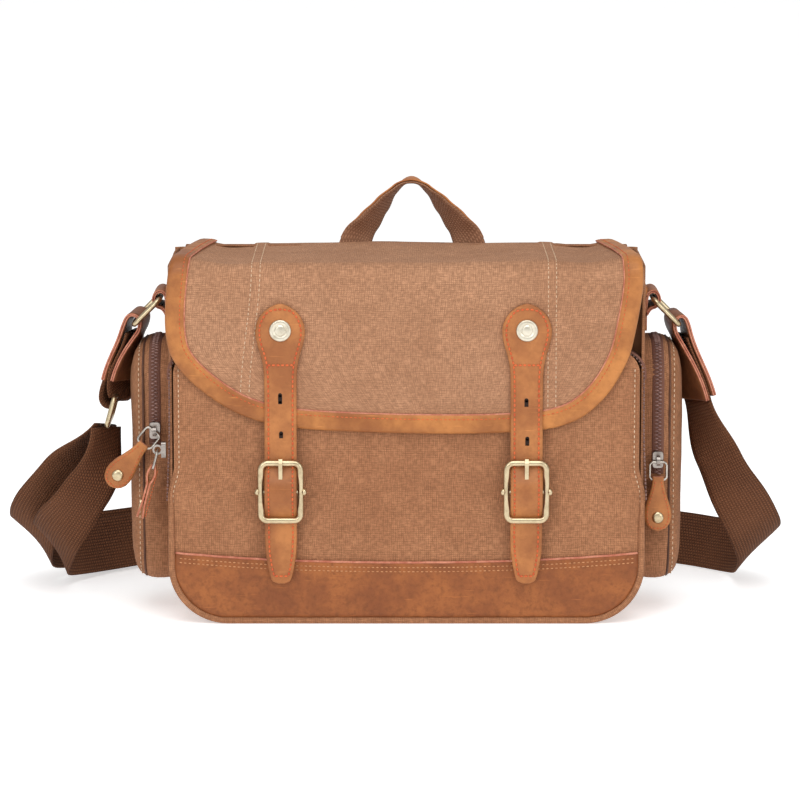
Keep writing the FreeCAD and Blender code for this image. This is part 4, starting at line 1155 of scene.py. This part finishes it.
for side, eye, lean, swing, open_by in (
    ("right", (169.7, -36.8, 97.0), 0.0, 0.0, 0.5), ("left", (-176.8, -36.8, 119.4), math.radians(40), 0.0, 0.5),
    ("front", (-169.6, -50.5, 107.4), math.radians(15), math.pi / 2, 2.1),
):
    where = tag_place(eye, lean, swing)
    pieces = []
    for layer, sign in (("outer", -1), ("inner", 1)):
        line = []
        for step in range(41):
            down = 37 * step / 40
            gap = 0.95 + (open_by - 0.5) * math.sin(math.pi * min(1.0, down / 12)) + (open_by - 0.5) * 0.6 * soft(24, 37, down)
            line.append(Vector((0, sign * gap, -down)) * MM)
        mesh = band(line, [(0, (1, 0, 0)), (1, (1, 0, 0))], lambda share: 2 * tag_half(share * 37) * MM, 1.5 * MM, 11, rounding=0.25)
        for face in mesh.faces:
            if abs(face.normal.y) < 0.45:
                face.material_index = 1
        mesh.transform(where)
        pieces.append(made(f"pull_leather_{side}_{layer}", mesh, strap_leather, raw_edge))
    edge = []
    for step in range(3, 39):
        down = 37 * step / 40
        edge.append(Vector((max(tag_half(down) - 1.7, 0.2), -1.78 - (open_by - 0.5), -down)) * MM)
    mirror = [Vector((-p.x, p.y, p.z)) for p in reversed(edge)]
    outline = [where @ p for p in edge + mirror]
    front_way = (where.to_3x3() @ Vector((0, -1, 0))).normalized()
    sewn = stitched(f"pull_stitches_{side}", [outline], [front_way], orange_thread, "pull_" + side, 2.3 * MM, 1.5 * MM, 0.36 * MM)
    for piece in pieces:
        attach(piece, "pull_" + side)
    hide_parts("pull_tag_" + side)
    if side != "front":
        rivet = bmesh.new()
        spots = [rivet.verts.new((r * MM, 0, h * MM)) for r, h in ((0, 1.3), (2.2, 1.15), (3.4, 0.75), (4.0, 0.1), (4.0, -0.5))]
        edges = [rivet.edges.new(pair) for pair in zip(spots, spots[1:])]
        bmesh.ops.spin(rivet, geom=spots + edges, cent=(0, 0, 0), axis=(0, 0, 1), angle=2 * math.pi, steps=32, use_merge=True)
        bmesh.ops.remove_doubles(rivet, verts=rivet.verts, dist=1e-6)
        bmesh.ops.holes_fill(rivet, edges=[e for e in rivet.edges if e.is_boundary], sides=0)
        bmesh.ops.recalc_face_normals(rivet, faces=rivet.faces)
        rivet.transform(where @ Matrix.Translation((0, -1.8 * MM, -27.8 * MM)) @ Euler((math.pi / 2, 0, 0)).to_matrix().to_4x4())
        head = made(f"pull_rivet_head_{side}", rivet, brass)
        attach(head, "pull_" + side)
        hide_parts("pull_rivet_" + side)


# The leather loops and ends that carry the shoulder strap: two thicknesses of glazed brown leather
# folded round each ring, with pale cut edges that show a red stain.
glazed_leather = hide("glazed_leather", (0.240, 0.090, 0.035), (0.115, 0.038, 0.016), gloss=0.42, cloud_size=30, patch=0.4, sheen=0.18)
loop_leather = hide("loop_leather", (0.330, 0.130, 0.055), (0.240, 0.086, 0.036), gloss=0.5, cloud_size=40)


def layered(name, spots, facing, wide, body, nodes_for, thick=1.5 * MM, gap=0.15 * MM, skins=(None, None)):
    """Two leathers laid one on the other along a line, with raw edges."""
    line = evenly(traced([Vector(p) * MM for p in spots]), 90)
    out = []
    for index, point in enumerate(line):
        side = blended(facing, index / 89)
        ahead = heading(line, index)
        out.append((side - ahead * side.dot(ahead)).normalized().cross(ahead).normalized())
    pieces = []
    for layer, shift, skin in (("a", thick / 2 + gap / 2, skins[0]), ("b", -thick / 2 - gap / 2, skins[1])):
        run = [point + away * shift for point, away in zip(line, out)]
        mesh = band(run, facing, wide, thick, 9, rounding=0.2)
        for face in mesh.faces:
            index = min(range(0, 90, 3), key=lambda i: (run[i] - face.calc_center_median()).length)
            if abs(face.normal.dot(out[index])) < 0.5:
                face.material_index = 1
        piece = made(f"{name}_{layer}", mesh, skin or strap_leather, raw_edge)
        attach(piece, body)
        pieces.append(piece)
    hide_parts(*nodes_for)
    return pieces


level = [(0, (0, -1, 0)), (1, (0, -1, 0))]
for side, sign in (("left", -1), ("right", 1)):
    loop = [(161.6, 8, 196), (161.8, 8, 205), (162.4, 8, 212), (163.4, 8, 218.4), (168.6, 8, 219.6), (172.0, 8, 214.5), (169.6, 8, 208.6), (164.6, 8, 207.6), (162.6, 8, 203)]
    layered(
        "anchor_leather_" + side, [(sign * x, y, z) for x, y, z in loop], level, 34 * MM, "shoulder_strap",
        ["anchor_loop_" + side], 1.1 * MM, 0.1 * MM, (loop_leather, loop_leather),
    )
right_end = [
    (197.4, 8, 142.5), (193.8, 8, 158), (189.6, 8, 172), (184.8, 8, 184), (180.4, 8, 191.5), (179.4, 8, 200.0), (186.6, 8, 203.0), (189.6, 8, 196.0),
    (191.6, 8, 187), (194.8, 8, 174), (198.6, 8, 160), (202.2, 8, 146),
]
turned = [(0.0, (0.42, -0.90, 0)), (0.4, (0.10, -0.99, 0)), (0.6, (0.10, -0.99, 0)), (1.0, (0.42, -0.90, 0))]
layered(
    "strap_end_leather_right", right_end, turned, 37 * MM, "shoulder_strap", ["strap_end_right"], 1.3 * MM, 0.1 * MM,
    (glazed_leather, glazed_leather),
)
left_end = [(-x, y, z + 12) if z < 186 else (-x, y, z) for x, y, z in right_end]
left_end = [
    (-193.2, 8, 156), (-190.8, 8, 166), (-188.0, 8, 176), (-183.6, 8, 186), (-179.0, 8, 193.5), (-178.6, 8, 201.5), (-186.6, 8, 204.0), (-190.4, 8, 196.0),
    (-192.4, 8, 187), (-194.8, 8, 177), (-197.2, 8, 167), (-199.4, 8, 157),
]
turned = [(0.0, (-0.40, -0.92, 0)), (0.4, (-0.10, -0.99, 0)), (0.6, (-0.10, -0.99, 0)), (1.0, (-0.40, -0.92, 0))]
layered(
    "strap_end_leather_left", left_end, turned, 37 * MM, "shoulder_strap", ["strap_end_left"], 1.3 * MM, 0.1 * MM,
    (glazed_leather, glazed_leather),
)
for name, spots, nodes_for, facing in (
    ("strap_tab_cloth", [(-194.6, 8, 168), (-196.0, 8, 158), (-196.2, 8, 151), (-194.6, 8, 145.5), (-197.4, 8, 141.2), (-201.8, 8, 144.0), (-201.2, 8, 151), (-198.8, 8, 158), (-196.8, 8, 168)],
     ["strap_tab"], [(0, (-0.40, -0.92, 0)), (1, (-0.40, -0.92, 0))]),
    ("strap_core_cloth_left", [(-196.2, 8, 157), (-193.6, 8, 168), (-190.2, 8, 179), (-187.4, 8, 190)], [], [(0, (-0.40, -0.92, 0)), (1, (-0.15, -0.99, 0))]),
    ("strap_core_cloth_right", [(200.0, 8, 141), (196.4, 8, 158), (192.6, 8, 174), (188.6, 8, 187)], [], [(0, (0.42, -0.90, 0)), (1, (0.12, -0.99, 0))]),
):
    line = evenly(traced([Vector(p) * MM for p in spots]), 60)
    inner = made(name, band(line, facing, 36 * MM, 1.9 * MM), webbing)
    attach(inner, "shoulder_strap")
    if nodes_for:
        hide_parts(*nodes_for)


# The carry handle: a loop of the same webbing sewn into the back seam, backed with tan leather and
# twisted so that it lies flat to the hand.
HANDLE = [
    (-37, 57.6, 222), (-38.5, 57.8, 234), (-35.5, 58.8, 246), (-26.5, 61, 257), (-17, 63.6, 268.8), (-8, 66.5, 280),
    (-1, 68, 285.2), (3.2, 68.2, 286.6), (7.4, 68, 285.6), (15, 66.5, 280), (24.5, 63.8, 269.5), (34.5, 61, 258),
    (43.6, 58.8, 246), (46.5, 57.8, 234), (45, 57.6, 222),
]
handle_line = evenly(traced([Vector(p) * MM for p in HANDLE]), 150)
handle_facing = [
    (0.00, (1, 0, 0)), (0.15, (1, 0.2, -0.5)), (0.24, (0.7, 0.9, -0.6)), (0.33, (0.4, 1, -0.38)),
    (0.42, (0.15, 1, -0.15)), (0.50, (0, 1, 0)), (0.58, (-0.15, 1, -0.15)), (0.67, (-0.4, 1, -0.38)),
    (0.76, (-0.7, 0.9, -0.6)), (0.85, (-1, 0.2, -0.5)), (1.00, (-1, 0, 0)),
]
handle_sides = [blended(handle_facing, index / 149) for index in range(150)]
handle_web = woven("handle_webbing_weave", (0.330, 0.165, 0.095), (0.120, 0.052, 0.028), 1.9 * MM, 2.1 * MM, slant=0.3)
handle = made("handle_cloth", band(handle_line, handle_facing, 21 * MM, 2.2 * MM), handle_web)
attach(handle, "handle")
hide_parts("handle_webbing")
over = []
for index, side in enumerate(handle_sides):
    ahead = heading(handle_line, index)
    side = (side - ahead * side.dot(ahead)).normalized()
    over.append(handle_line[index] - side.cross(ahead).normalized() * 1.9 * MM)
grip_line = over[20:130]
grip_facing = [(index / (len(grip_line) - 1), side) for index, side in enumerate(handle_sides[20:130])]
grip = made("handle_grip", band(grip_line, grip_facing, 21 * MM, 1.5 * MM), tan_leather, raw_edge)
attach(grip, "handle")
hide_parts("handle_leather")
